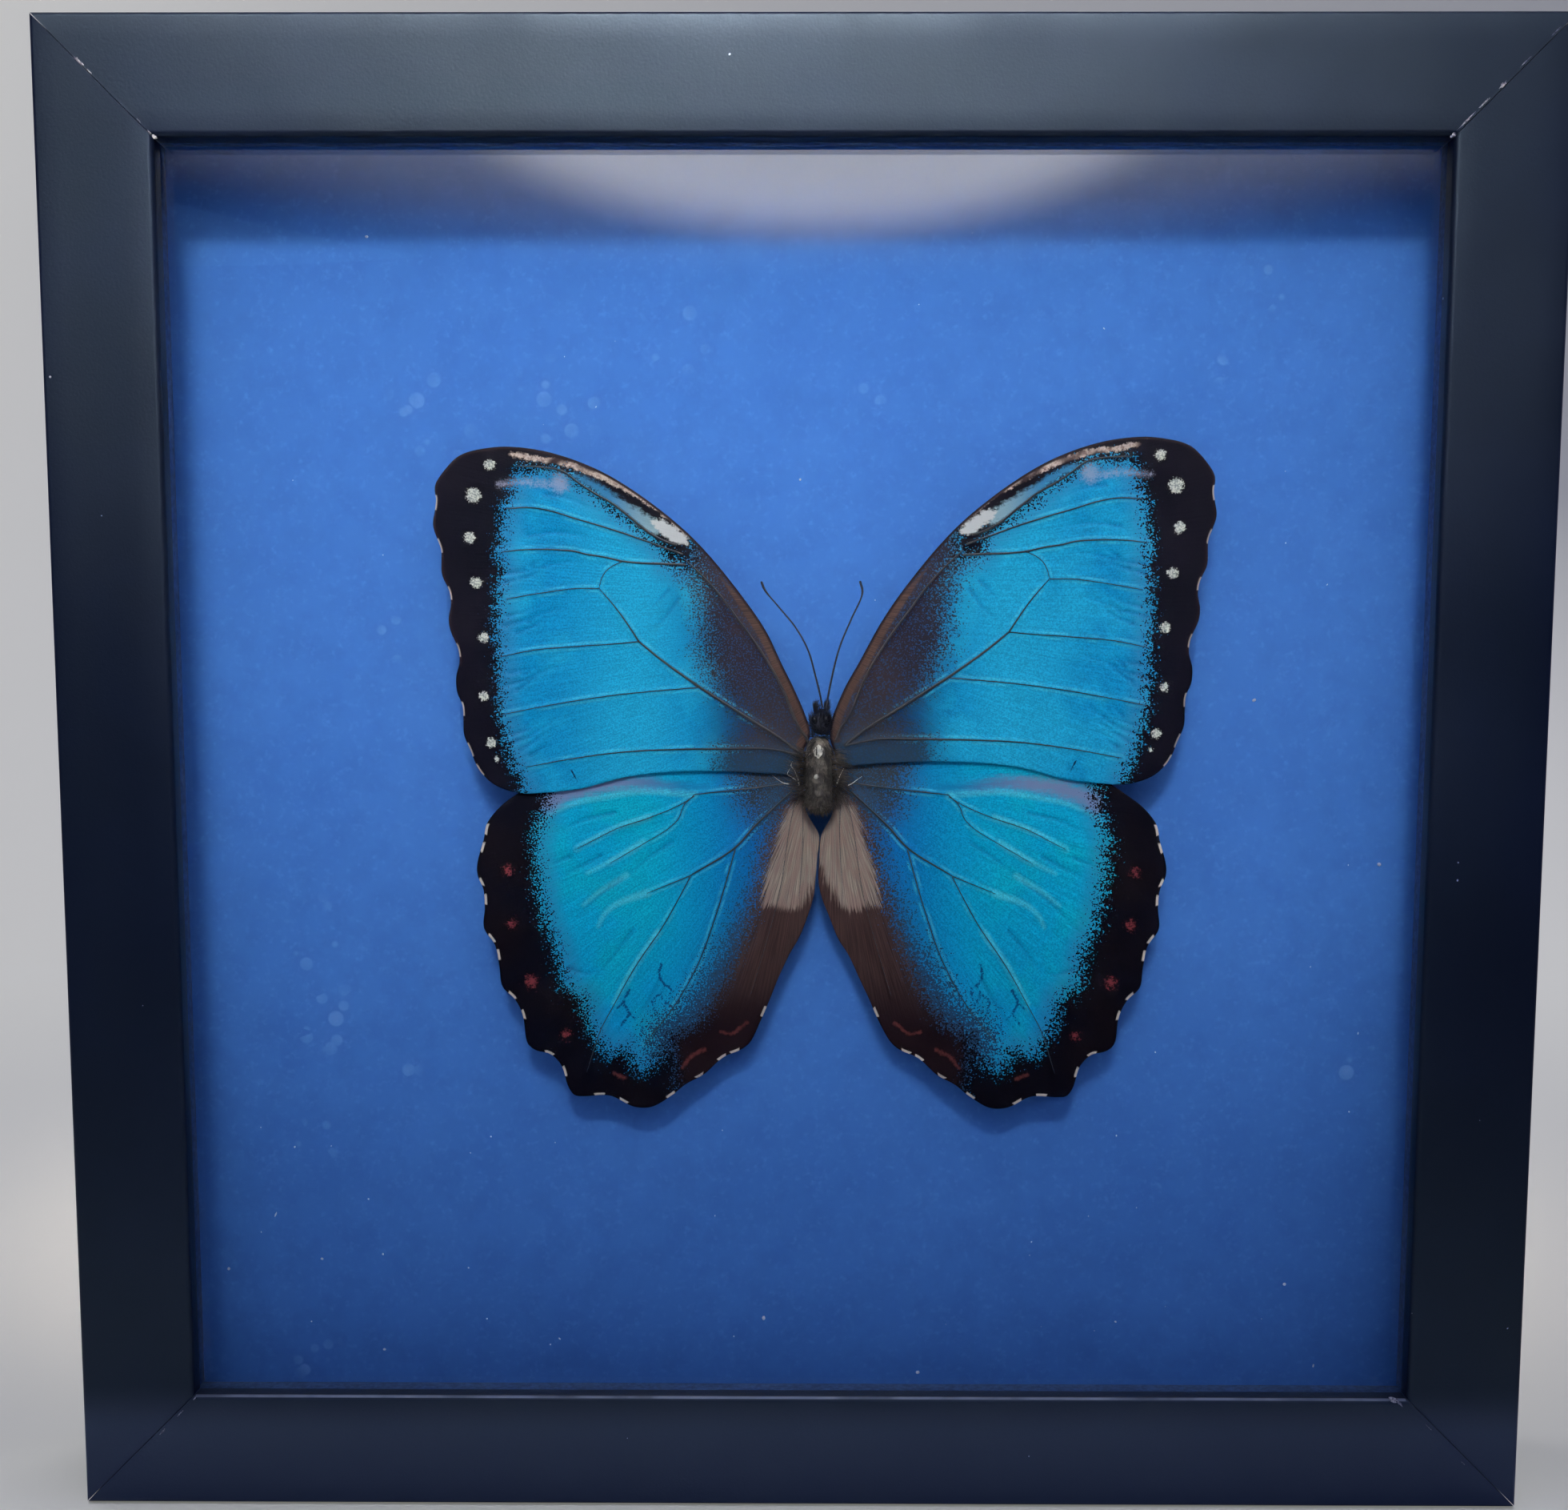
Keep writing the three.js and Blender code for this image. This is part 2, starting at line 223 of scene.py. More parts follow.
@dataclass(frozen=True)
class FoilFinish:
    """Satin black foil wrapped over the rails, with a painted highlight along the bottom rail's sight edge
    and painted sheen towards the bottom of the frame.
    """

    tone: Colour = paint(4, 8, 22)
    bloom: Colour = paint(10, 17, 36)
    dust: Colour = paint(150, 152, 160)

    def build(self) -> Any:
        """Makes the material."""
        s = Shader("black_foil", Specular_IOR_Level=0.34, IOR=1.5, Specular_Tint=(0.5, 0.72, 1.0, 1.0))
        cloud = s.noise(22.0, detail=4.0, rough=0.6)
        smear = s.noise(60.0, s.scaled(s.place, (1.0, 1.0, 0.3)), detail=3.0)
        grain = s.noise(2600.0, detail=2.0)
        speck = s.cells(170.0)
        rare = s.math("GREATER_THAN", s.split(speck["Color"])[0], 0.93)
        near = s.math("LESS_THAN", speck["Distance"], 0.035)
        colour = s.mix(s.span(cloud, 0.35, 0.75), self.tone, self.bloom)
        # Painted sheen: the foil turns paler and bluer towards the bottom of the frame, standing in for its
        # reflection of the lit floor.
        painted_floor_sheen = s.span(s.split(s.place)[2], 0.022, 0.012, (0.0, 0.8))
        colour = s.mix(painted_floor_sheen, colour, paint(64, 74, 92))
        # Painted highlight: a pale line along the bottom rail's sight edge.
        colour = s.mix(self._sight_edge_highlight(s), colour, paint(140, 148, 162))
        colour = s.mix(s.times(rare, near), colour, self.dust)
        rough = s.math("ADD", s.span(smear, 0.3, 0.8, (0.36, 0.46)), s.span(grain, 0.2, 0.8, (0.0, 0.05)))
        return s.done(Base_Color=colour, Roughness=rough, Normal=s.bump(grain, 0.00004, 0.6))

    def _sight_edge_highlight(self, s: Shader) -> Any:
        """A mask of the painted highlight: a pale line along the bottom rail's sight edge, where its rounded
        arris catches the light.

        Args:
            s: The finish's shader.

        Returns:
            The mask.
        """
        low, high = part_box("rail_bottom")
        across, back, up = s.split(s.place)
        below, half, soft, deep = 0.25 * MM, 0.1 * MM, 0.22 * MM, 0.6 * MM
        off = s.math("ABSOLUTE", s.math("SUBTRACT", up, high.z - below))
        line = s.span(off, soft, half)
        front = s.span(back, low.y + 1.5 * deep, low.y + deep)
        corner = high.x - high.z
        between = s.span(s.math("ABSOLUTE", across), corner, corner - 0.2 * MM)
        patchy = s.span(s.noise(90.0, detail=3.0), 0.3, 0.6, (0.35, 0.9))
        return s.times(s.times(line, front), s.times(between, patchy))


@dataclass(frozen=True)
class CoreFinish:
    """Pale pressed core and torn foil that shows where a mitre is chipped."""

    def build(self) -> Any:
        """Makes the material."""
        s = Shader("chipped_core", Roughness=0.9)
        fleck = s.noise(3000.0, detail=3.0)
        colour = s.mix(s.span(fleck, 0.35, 0.65), paint(92, 94, 108), paint(176, 176, 182))
        return s.done(Base_Color=colour, Normal=s.bump(fleck, 0.0001))


@dataclass(frozen=True)
class GlassFinish:
    """Clear float glass that lets lamps through to what lies behind it."""

    def build(self) -> Any:
        """Makes the material."""
        s = Shader("picture_glass", Transmission_Weight=1.0, Roughness=0.0, IOR=1.5)
        wave = s.noise(9.0, detail=1.0)
        s.done(Base_Color=(0.985, 0.995, 0.99, 1.0), Normal=s.bump(wave, 0.00002, 0.15))
        clear = s.node("BsdfTransparent", {"Color": (0.94, 0.95, 0.95, 1.0)})
        path = s.node("LightPath")
        both = s.node("MixShader", {0: path.outputs["Is Shadow Ray"]})
        s.put(both.inputs[1], s.surface.outputs[0])
        s.put(both.inputs[2], clear.outputs[0])
        s.put(s.output.inputs["Surface"], both.outputs[0])
        return s.material


@dataclass(frozen=True)
class PaperFinish:
    """Blue backing paper: a mottled fibrous sheet with pale old water marks."""

    # Middle of each cluster of marks and its reach, across and up on the sheet.
    stains: tuple[tuple[float, float, float], ...] = (
        (-23.0, 203.0, 9.0), (-42.0, 191.0, 9.5), (-64.0, 189.0, 9.5), (-71.0, 151.0, 5.0),
        (-84.0, 83.0, 9.0), (-87.0, 61.0, 6.0), (-86.0, 98.0, 9.0), (-72.0, 75.0, 5.0),
        (80.0, 211.0, 5.5), (12.2, 193.0, 4.0), (99.0, 76.0, 6.0), (66.0, 54.3, 2.4),
        (-88.0, 21.0, 6.0), (5.6, 116.9, 2.5), (35.0, 94.0, 3.0), (71.5, 197.0, 3.0),
    )

    def build(self) -> Any:
        """Makes the material."""
        s = Shader("blue_paper", Roughness=0.85, Specular_IOR_Level=0.25)
        fibre = s.noise(900.0, detail=5.0, rough=0.7)
        mottle = s.noise(190.0, detail=4.0, rough=0.65)
        cloud = s.noise(26.0, detail=3.0)
        base = s.mix(s.span(cloud, 0.3, 0.7), paint(50, 103, 183), paint(55, 110, 191))
        base = s.mix(s.span(mottle, 0.38, 0.7, (0.0, 0.32)), base, paint(42, 89, 167))
        base = s.mix(s.span(fibre, 0.5, 0.78, (0.0, 0.35)), base, paint(86, 138, 218))
        near = self._clusters(s)
        drops = s.cells(320.0, s.scaled(s.place, (1.0, 0.0, 1.0)))
        size = s.times(s.split(drops["Color"])[1], 0.48)
        mark = s.span(s.math("SUBTRACT", size, drops["Distance"]), -0.02, 0.10)
        mark = s.times(mark, near)
        mark = s.times(mark, s.span(mottle, 0.3, 0.75, (0.15, 0.5)))
        colour = s.mix(mark, base, paint(106, 152, 220))
        rough = s.span(mark, 0.0, 1.0, (0.88, 0.74))
        return s.done(Base_Color=colour, Roughness=rough, Normal=s.bump(fibre, 0.00006, 0.5))

    def _clusters(self, s: Shader) -> Any:
        """A mask that is 1 inside the clusters of marks and 0 away from them.

        Args:
            s: The finish's shader.

        Returns:
            The mask.
        """
        total: Any = 0.0
        face = -1.5 * MM
        for x, z, reach in self.stains:
            away = s.node("VectorMath", {0: s.place, 1: (x * MM, face, z * MM)}, operation="DISTANCE")
            here = s.span(away.outputs["Value"], reach * MM, 0.35 * reach * MM)
            total = s.math("MAXIMUM", here, total)
        return total


@dataclass(frozen=True)
class CardFinish:
    """Dull dark blue card of the spacer strips."""

    def build(self) -> Any:
        """Makes the material."""
        s = Shader("spacer_card", Roughness=0.7, Specular_IOR_Level=0.35)
        fibre = s.noise(1200.0, detail=4.0)
        colour = s.mix(s.span(fibre, 0.3, 0.75), paint(42, 64, 102), paint(60, 88, 134))
        return s.done(Base_Color=colour, Normal=s.bump(fibre, 0.00005))


@dataclass(frozen=True)
class HardboardFinish:
    """Brown hardboard with a woven back face."""

    def build(self) -> Any:
        """Makes the material."""
        s = Shader("hardboard", Roughness=0.85, Specular_IOR_Level=0.2)
        fibre = s.noise(420.0, s.scaled(s.place, (1.0, 1.0, 0.35)), detail=6.0, rough=0.7)
        cloud = s.noise(14.0, detail=3.0)
        warp, _, weft = s.split(s.place)
        pitch = 2 * math.pi / (1.1 * MM)
        net = s.times(s.math("SINE", s.times(warp, pitch)), s.math("SINE", s.times(weft, pitch)))
        colour = s.mix(s.span(fibre, 0.3, 0.75), paint(78, 54, 36), paint(132, 98, 68))
        colour = s.mix(s.span(cloud, 0.35, 0.75, (0.0, 0.4)), colour, paint(104, 74, 50))
        colour = s.mix(s.span(net, 0.1, 0.9, (0.0, 0.35)), colour, paint(58, 40, 27))
        height = s.bump(net, 0.00010, 0.7, s.bump(fibre, 0.00012, 0.6))
        return s.done(Base_Color=colour, Normal=height)


@dataclass(frozen=True)
class SteelFinish:
    """Zinc-plated spring steel of the tabs, the hanger and its rivets."""

    def build(self) -> Any:
        """Makes the material."""
        s = Shader("zinc_steel", Metallic=1.0)
        roll = s.noise(700.0, s.scaled(s.place, (0.08, 1.0, 1.0)), detail=4.0)
        spangle = s.cells(420.0)
        dull = s.noise(90.0, detail=3.0)
        colour = s.mix(s.split(spangle["Color"])[0], paint(164, 166, 166), paint(196, 197, 195))
        colour = s.mix(s.span(dull, 0.5, 0.8, (0.0, 0.55)), colour, paint(138, 132, 120))
        rough = s.math("ADD", s.span(dull, 0.3, 0.8, (0.24, 0.44)), s.span(roll, 0.2, 0.8, (0.0, 0.08)))
        return s.done(Base_Color=colour, Roughness=rough, Normal=s.bump(roll, 0.00002, 0.5))


@dataclass(frozen=True)
class CorkFinish:
    """Grained cork of the block that the body stands on."""

    def build(self) -> Any:
        """Makes the material."""
        s = Shader("cork", Roughness=0.95, Specular_IOR_Level=0.15)
        grains = s.cells(1100.0)
        colour = s.mix(s.split(grains["Color"])[0], paint(118, 84, 54), paint(176, 136, 94))
        colour = s.mix(s.span(grains["Distance"], 0.45, 0.8), colour, paint(70, 46, 30))
        return s.done(Base_Color=colour, Normal=s.bump(grains["Distance"], 0.0002))


@dataclass(frozen=True)
class DustFinish:
    """Pale lint and dust."""

    def build(self) -> Any:
        """Makes the material."""
        s = Shader("dust", Roughness=0.9)
        tint = s.noise(500.0)
        return s.done(Base_Color=s.mix(tint, paint(150, 170, 210), paint(225, 232, 245)))


@dataclass(frozen=True)
class HairFinish:
    """Fine scales and hair, of one family of colour."""

    name: str
    root: Colour
    tip: Colour
    roughness: float = 0.75

    def build(self) -> Any:
        """Makes the material."""
        s = Shader(self.name, Roughness=self.roughness, Specular_IOR_Level=0.4)
        strand = s.noise(2400.0, detail=2.0)
        patch = s.noise(420.0, detail=2.0)
        colour = s.mix(s.span(s.math("ADD", strand, patch), 0.84, 1.16), self.root, self.tip)
        return s.done(Base_Color=colour, Normal=s.bump(strand, 0.00004))


@dataclass(frozen=True)
class CuticleFinish:
    """Dark hard skin with a satin shine, painted shade in its pits and creases, and a pale patch between the
    wings: smoother bare skin painted pale as a highlight.
    """

    def build(self) -> Any:
        """Makes the material."""
        s = Shader("cuticle", Specular_IOR_Level=0.6)
        pore = s.noise(2600.0, detail=3.0)
        cloud = s.noise(600.0, detail=3.0)
        bare = s.value("bare")
        colour = s.mix(s.span(cloud, 0.42, 0.6), paint(9, 8, 11), paint(70, 64, 61))
        # Partly painted highlight: the pale patches are smoother skin, and are also painted pale where the
        # glossy thorax shines.
        colour = s.mix(s.span(s.math("ADD", bare, s.times(pore, 0.5)), 0.55, 0.95), colour,
                       paint(176, 176, 170))
        # Painted shade: the pits and creases between the thorax's plates are painted near-black.
        colour = s.mix(s.value("pit"), colour, paint(10, 9, 12))
        rough = s.span(bare, 0.2, 0.8, (0.5, 0.3))
        height = s.bump(pore, 0.00008, 0.8, s.bump(cloud, 0.0004))
        return s.done(Base_Color=colour, Roughness=rough, Normal=height)


class WingFinish:
    """What the scales of all four wings share: stippled edges, scale grain and creases."""

    STIPPLE = 3.6  # scales to the millimetre

    def __init__(self, name: str) -> None:
        """Starts the wing's material.

        Args:
            name: The material's name.
        """
        self.s = Shader(name, Roughness=0.55, Specular_IOR_Level=0.05)
        s = self.s
        self.place = s.vector("place")
        self.flow = s.vector("flow")
        self.out, self.up, _ = s.split(self.place)
        self.dots = s.noise(self.STIPPLE, self.place, detail=1.0)
        self.grit = s.noise(self.STIPPLE * 0.42, self.place, detail=3.0, rough=0.7)
        self.spikes = s.noise(1.0, s.scaled(self.flow, (0.34, 1.3, 1.0)), detail=3.0, rough=0.65)
        self.cloud = s.noise(0.09, self.place, detail=3.0)
        self.row = s.noise(1.0, s.scaled(self.flow, (0.12, 3.6, 1.0)), detail=2.0)
        self.length = s.noise(1.0, s.scaled(self.flow, (0.24, 0.35, 1.0)), detail=1.0)

    def ragged(self, depth: Any, noise_by: Sequence[tuple[Any, float]], soft: float) -> Any:
        """A mask of an area whose border is broken up by noise.

        Args:
            depth: How deep the point lies inside the area.
            noise_by: Noises, each with the distance it moves the border by.
            soft: How softly the border fades.

        Returns:
            The mask, 1 inside.
        """
        s = self.s
        for chance, reach in noise_by:
            centred = s.math("SUBTRACT", chance, 0.5)
            depth = s.math("MULTIPLY_ADD", centred, 2.0 * reach, depth)
        return s.span(depth, -soft, soft)

    def fringe(self) -> Any:
        """A mask of the duller, sparser scales beside the black border."""
        s = self.s
        near = s.span(s.value("rim"), -4.5, -0.5)
        return s.times(near, s.span(self.dots, 0.4, 0.6, (0.2, 0.85)))

    def tint(self, colour: Any) -> Any:
        """Varies a colour from scale to scale and along the rows of scales, with a painted highlight beside
        the veins.

        Args:
            colour: The colour.

        Returns:
            The varied colour.
        """
        s = self.s
        vein = s.value("vein")
        # Painted highlight: a pale sheen along one side of each vein, as if its scales caught the light.
        beside = s.times(s.span(vein, -0.75, -0.35), s.span(vein, -0.1, -0.3))
        beside = s.times(beside, s.span(self.length, 0.35, 0.6, (0.0, 0.36)))
        colour = s.mix(beside, colour, paint(70, 176, 206))
        fine = s.span(self.dots, 0.3, 0.7, (0.82, 1.18))
        rows = s.span(self.row, 0.3, 0.7, (0.9, 1.1))
        level = s.times(fine, rows)
        grey = s.node("CombineColor", {0: level, 1: level, 2: level})
        return s.mix(1.0, colour, grey.outputs[0], "MULTIPLY")

    def close(self, colour: Any) -> Any:
        """Adds the grain of the scales and ends the material.

        Args:
            colour: The wing's colour.

        Returns:
            The material.
        """
        s = self.s
        height = s.math("ADD", self.row, s.times(self.dots, 0.6))
        return s.done(
            Base_Color=colour,
            Roughness=s.span(self.row, 0.2, 0.8, (0.5, 0.62)),
            Normal=s.bump(height, 0.00005, 0.55),
        )


class ForewingFinish(WingFinish):
    """Forewing scales: blue field, smoky root, black border, pale marks along the front edge."""

    def build(self) -> Any:
        """Makes the material."""
        s = self.s
        far = s.span(self.out, 13.0, 25.0)
        blue = s.mix(far, paint(1, 46, 88), paint(2, 112, 164))
        glow = s.times(s.span(self.out, 20.0, 31.0), s.span(self.out, 48.0, 33.0))
        pale = s.times(s.span(self.cloud, 0.38, 0.66, (0.0, 0.7)), far)
        pale = s.math("MAXIMUM", pale, s.times(glow, 0.75))
        blue = s.mix(pale, blue, paint(26, 148, 192))
        # Painted shade: the blue is darker along the creases, which the sheet is also dented along.
        blue = s.mix(s.span(s.value("crease"), 0.1, 0.9, (0.0, 0.4)), blue, paint(2, 82, 134))
        blue = s.mix(self.fringe(), self.tint(blue), paint(44, 104, 150))
        smoke = s.mix(s.span(self.up, 4.0, 22.0), paint(36, 33, 39), paint(27, 23, 35))
        smoke = s.mix(s.span(self.cloud, 0.35, 0.65, (0.0, 0.6)), smoke, paint(42, 33, 38))
        smoke = s.mix(s.span(self.up, 8.0, 1.0, (0.0, 0.85)), smoke, paint(24, 46, 68))
        smoke = s.mix(s.span(self.dots, 0.48, 0.36, (0.0, 0.6)), smoke, paint(8, 58, 98))
        wider = s.math("ADD", s.value("root"), 1.2)
        root = self.ragged(wider, ((self.dots, 9.0), (self.grit, 3.0), (self.spikes, 1.6)), 3.0)
        colour = s.mix(root, blue, smoke)
        black = s.mix(s.span(self.cloud, 0.3, 0.7), paint(2, 3, 16), paint(7, 6, 20))
        rim = self.ragged(s.value("rim"), ((self.spikes, 1.9), (self.dots, 4.2), (self.grit, 2.6)), 0.5)
        colour = s.mix(rim, colour, black)
        smudge = self.ragged(s.value("smudge"), ((self.grit, 1.0), (self.dots, 0.9)), 0.9)
        colour = s.mix(s.times(smudge, 0.6), colour, paint(142, 148, 178))
        colour = s.mix(s.span(s.value("costa"), -0.2, 0.25), colour,
                       s.mix(s.span(self.row, 0.3, 0.7), paint(40, 31, 33), paint(74, 56, 51)))
        band = self.ragged(s.value("band"), ((self.spikes, 0.8), (self.grit, 0.8)), 0.5)
        haze = s.mix(s.span(self.out, 27.0, 37.0), paint(128, 160, 176), paint(34, 92, 132))
        colour = s.mix(band, colour, haze)
        pale = s.mix(s.span(self.grit, 0.35, 0.65), paint(122, 104, 100), paint(186, 174, 168))
        streak = s.mix(s.span(self.length, 0.38, 0.58), paint(40, 30, 36), pale)
        stripe = self.ragged(s.value("stripe"), ((self.spikes, 0.5), (self.grit, 0.6)), 0.2)
        colour = s.mix(stripe, colour, streak)
        colour = s.mix(self.ragged(s.value("patch"), ((self.grit, 0.8), (self.spikes, 0.5)), 0.3), colour,
                       paint(198, 204, 208))
        colour = s.mix(self.ragged(s.value("edge"), ((self.grit, 0.1),), 0.14), colour, paint(26, 18, 26))
        colour = s.mix(self.ragged(s.value("spot"), ((self.grit, 0.7), (self.dots, 0.4)), 0.2), colour,
                       s.mix(s.span(self.dots, 0.35, 0.65), paint(140, 150, 150), paint(214, 220, 212)))
        colour = s.mix(s.span(s.value("dash"), -0.1, 0.1), colour, paint(176, 166, 160))
        colour = s.mix(self.ragged(s.value("nick"), ((self.grit, 0.12),), 0.08), colour, paint(10, 30, 60))
        colour = s.mix(self.ragged(s.value("vein"), ((self.grit, 0.05),), 0.09), colour,
                       s.mix(s.span(self.out, 20.0, 34.0), paint(40, 36, 40), paint(4, 34, 60)))
        return self.close(colour)


class HindwingFinish(WingFinish):
    """Hindwing scales: blue-green field, brown fold, black border with red and white marks."""

    def build(self) -> Any:
        """Makes the material."""
        s = self.s
        across = s.span(self.out, 10.0, 32.0)
        blue = s.mix(across, paint(0, 78, 142), paint(0, 140, 184))
        low = s.span(self.up, -22.0, -44.0)
        blue = s.mix(s.times(low, 0.55), blue, paint(2, 112, 176))
        green = s.times(s.span(self.cloud, 0.42, 0.62), s.span(self.out, 22.0, 34.0))
        blue = s.mix(s.times(green, 0.5), blue, paint(0, 150, 172))
        # Painted shade: the blue is darker along the creases, which the sheet is also dented along.
        blue = s.mix(s.span(s.value("crease"), 0.1, 0.9, (0.0, 0.5)), blue, paint(0, 98, 144))
        # Painted highlight: the raised ridges are painted pale, as if they caught the light.
        blue = s.mix(s.span(s.value("ridge"), -0.7, 0.3, (0.0, 0.6)), blue, paint(70, 182, 210))
        blue = s.mix(self.fringe(), self.tint(blue), paint(40, 100, 146))
        smoke = s.mix(s.span(self.dots, 0.5, 0.36, (0.0, 0.6)), paint(36, 38, 46), paint(4, 76, 120))
        colour = s.mix(self.ragged(s.value("root"), ((self.dots, 9.0), (self.grit, 3.0)), 3.0), blue, smoke)
        colour = s.mix(self.ragged(s.value("band"), ((self.spikes, 1.2), (self.grit, 0.8)), 1.0), colour,
                       s.mix(s.span(self.out, 22.0, 38.0), paint(4, 98, 146), paint(92, 112, 152)))
        brown = s.mix(s.span(self.row, 0.3, 0.7), paint(38, 27, 30), paint(60, 45, 46))
        brown = s.mix(s.span(self.up, -32.0, -45.0), brown, paint(23, 13, 20))
        reach = s.span(self.up, -14.0, -40.0, (0.9, 4.4))
        fold = s.value("fold")
        outer = s.math("ADD", fold, reach)
        dusted = self.ragged(outer, ((self.dots, 10.0), (self.grit, 4.0)), 0.5)
        colour = s.mix(dusted, colour, paint(26, 56, 88))
        colour = s.mix(self.ragged(fold, ((self.dots, 5.0), (self.grit, 2.5)), 0.7), colour, brown)
        grey = s.mix(s.span(self.row, 0.3, 0.7), paint(88, 82, 82), paint(136, 128, 123))
        grey = s.mix(s.span(self.length, 0.4, 0.6, (0.0, 0.5)), grey, paint(112, 92, 90))
        colour = s.mix(self.ragged(s.value("grey"), ((self.spikes, 1.6), (self.row, 1.6)), 0.7), colour, grey)
        black = s.mix(s.span(self.cloud, 0.3, 0.7), paint(2, 3, 16), paint(9, 5, 13))
        rim = self.ragged(s.value("rim"), ((self.spikes, 1.6), (self.dots, 5.0), (self.grit, 3.0)), 0.5)
        colour = s.mix(rim, colour, black)
        smaller = s.math("SUBTRACT", s.value("spot"), 0.3)
        spot = self.ragged(smaller, ((self.grit, 1.8), (self.dots, 1.0)), 0.6)
        colour = s.mix(spot, colour, paint(98, 42, 50))
        colour = s.mix(self.ragged(s.value("streak"), ((self.grit, 0.5), (self.spikes, 0.3)), 0.3), colour,
                       paint(86, 44, 44))
        colour = s.mix(self.ragged(s.value("scratch"), ((self.grit, 0.5), (self.dots, 0.4)), 0.12), colour,
                       paint(6, 66, 112))
        colour = s.mix(s.span(s.value("dash"), -0.1, 0.1), colour, paint(206, 198, 190))
        colour = s.mix(self.ragged(s.value("vein"), ((self.grit, 0.05),), 0.09), colour, paint(6, 52, 78))
        return self.close(colour)


# ---- Lines and areas drawn on a wing ----


def smooth_line(points: Sequence[Sequence[float]], spacing: float = 0.5, closed: bool = False) -> np.ndarray:
    """Runs an even curve through a list of points.

    Args:
        points: The points, in order.
        spacing: The distance between the curve's own points.
        closed: Whether the last point joins the first.

    Returns:
        The curve's points, one a row.
    """
    line = np.asarray(points, float)
    if closed:
        line = np.vstack([line[-1:], line, line[:2]])
    else:
        line = np.vstack([2 * line[0] - line[1], line, 2 * line[-1] - line[-2]])
    pieces = []
    for a, b, c, d in zip(line, line[1:], line[2:], line[3:]):
        steps = [math.sqrt(float(np.linalg.norm(v))) for v in (b - a, c - b, d - c)]
        k1, k2, k3 = np.cumsum(steps)
        count = max(1, round(float(np.linalg.norm(c - b)) / spacing))
        t = np.linspace(k1, k2, count, endpoint=False)[:, None]
        near = ((k1 - t) * a + t * b) / k1
        middle = ((k2 - t) * b + (t - k1) * c) / (k2 - k1)
        far = ((k3 - t) * c + (t - k2) * d) / (k3 - k2)
        early = ((k2 - t) * near + t * middle) / k2
        late = ((k3 - t) * middle + (t - k1) * far) / (k3 - k1)
        pieces.append(((k2 - t) * early + (t - k1) * late) / (k2 - k1))
    if not closed:
        pieces.append(line[-2][None, :])
    return np.vstack(pieces)


def nearest_on(line: np.ndarray, points: np.ndarray) -> tuple[np.ndarray, np.ndarray]:
    """Finds how far points lie from a line.

    Args:
        line: The line's points.
        points: The points to measure.

    Returns:
        Each point's distance, and how far along the line its nearest place is, from 0 to 1.
    """
    best = np.full(len(points), 1e9)
    along = np.zeros(len(points))
    run = np.concatenate([[0.0], np.cumsum(np.linalg.norm(np.diff(line, axis=0), axis=1))])
    for i, (a, b) in enumerate(zip(line, line[1:])):
        step = b - a
        length = float(step @ step) or 1e-12
        t = np.clip((points - a) @ step / length, 0.0, 1.0)
        away = np.linalg.norm(points - a - t[:, None] * step, axis=1)
        closer = away < best
        best = np.where(closer, away, best)
        along = np.where(closer, run[i] + t * (run[i + 1] - run[i]), along)
    return best, along / run[-1]


def inside(outline: np.ndarray, points: np.ndarray) -> np.ndarray:
    """Tells which points lie inside a closed outline.

    Args:
        outline: The corners.
        points: The points.

    Returns:
        True for each point inside.
    """
    crossed = np.zeros(len(points), bool)
    x, z = points[:, 0], points[:, 1]
    for (ax, az), (bx, bz) in zip(outline, np.roll(outline, -1, axis=0)):
        if az != bz:
            crossed ^= ((az > z) != (bz > z)) & (x < (bx - ax) * (z - az) / (bz - az) + ax)
    return crossed


@dataclass(frozen=True)
class Stroke:
    """A line drawn with a width that runs evenly from one end to the other."""

    points: tuple[Pair, ...]
    start: float
    end: float

    def depth(self, places: np.ndarray) -> np.ndarray:
        """How deep each place lies inside the stroke."""
        away, along = nearest_on(smooth_line(self.points), places)
        return (self.start + (self.end - self.start) * along) / 2 - away


@dataclass(frozen=True)
class Area:
    """A closed area with straight sides between its points."""

    points: tuple[Pair, ...]

    def depth(self, places: np.ndarray) -> np.ndarray:
        """How deep each place lies inside the area, below 0 outside it."""
        outline = np.array(self.points, float)
        away, _ = nearest_on(np.vstack([outline, outline[:1]]), places)
        return np.where(inside(outline, places), away, -away)


@dataclass(frozen=True)
class Dot:
    """A round mark."""

    x: float
    z: float
    radius: float

    def depth(self, places: np.ndarray) -> np.ndarray:
        """How deep each place lies inside the mark."""
        return self.radius - np.hypot(places[:, 0] - self.x, places[:, 1] - self.z)


def deepest(marks: Iterable[Any], places: np.ndarray) -> np.ndarray:
    """How deep each place lies inside the nearest of some marks, never below -12."""
    depths = [mark.depth(places) for mark in marks]
    return np.maximum.reduce([np.full(len(places), -12.0), *depths])


# ---- Meshes ----


def linked(name: str, data: Any) -> Any:
    """Makes an object of a mesh, a lamp or a camera, and puts it in the scene."""
    obj = bpy.data.objects.new(name, data)
    bpy.context.collection.objects.link(obj)
    return obj


def piece(name: str, points: Any, faces: Sequence[Sequence[int]], finish: Any, smooth: bool = True) -> Any:
    """Makes a mesh object.

    Args:
        name: The piece's name.
        points: Its points, in millimetres in the row frame.
        faces: Its faces, as lists of point numbers.
        finish: Its material.
        smooth: Whether its faces are shaded smoothly.

    Returns:
        The object.
    """
    mesh = bpy.data.meshes.new(name)
    mesh.from_pydata((np.asarray(points, float) * MM).tolist(), [], faces)
    mesh.materials.append(finish)
    mesh.polygons.foreach_set("use_smooth", [smooth] * len(mesh.polygons))
    mesh.validate()
    obj = linked(name, mesh)
    return obj


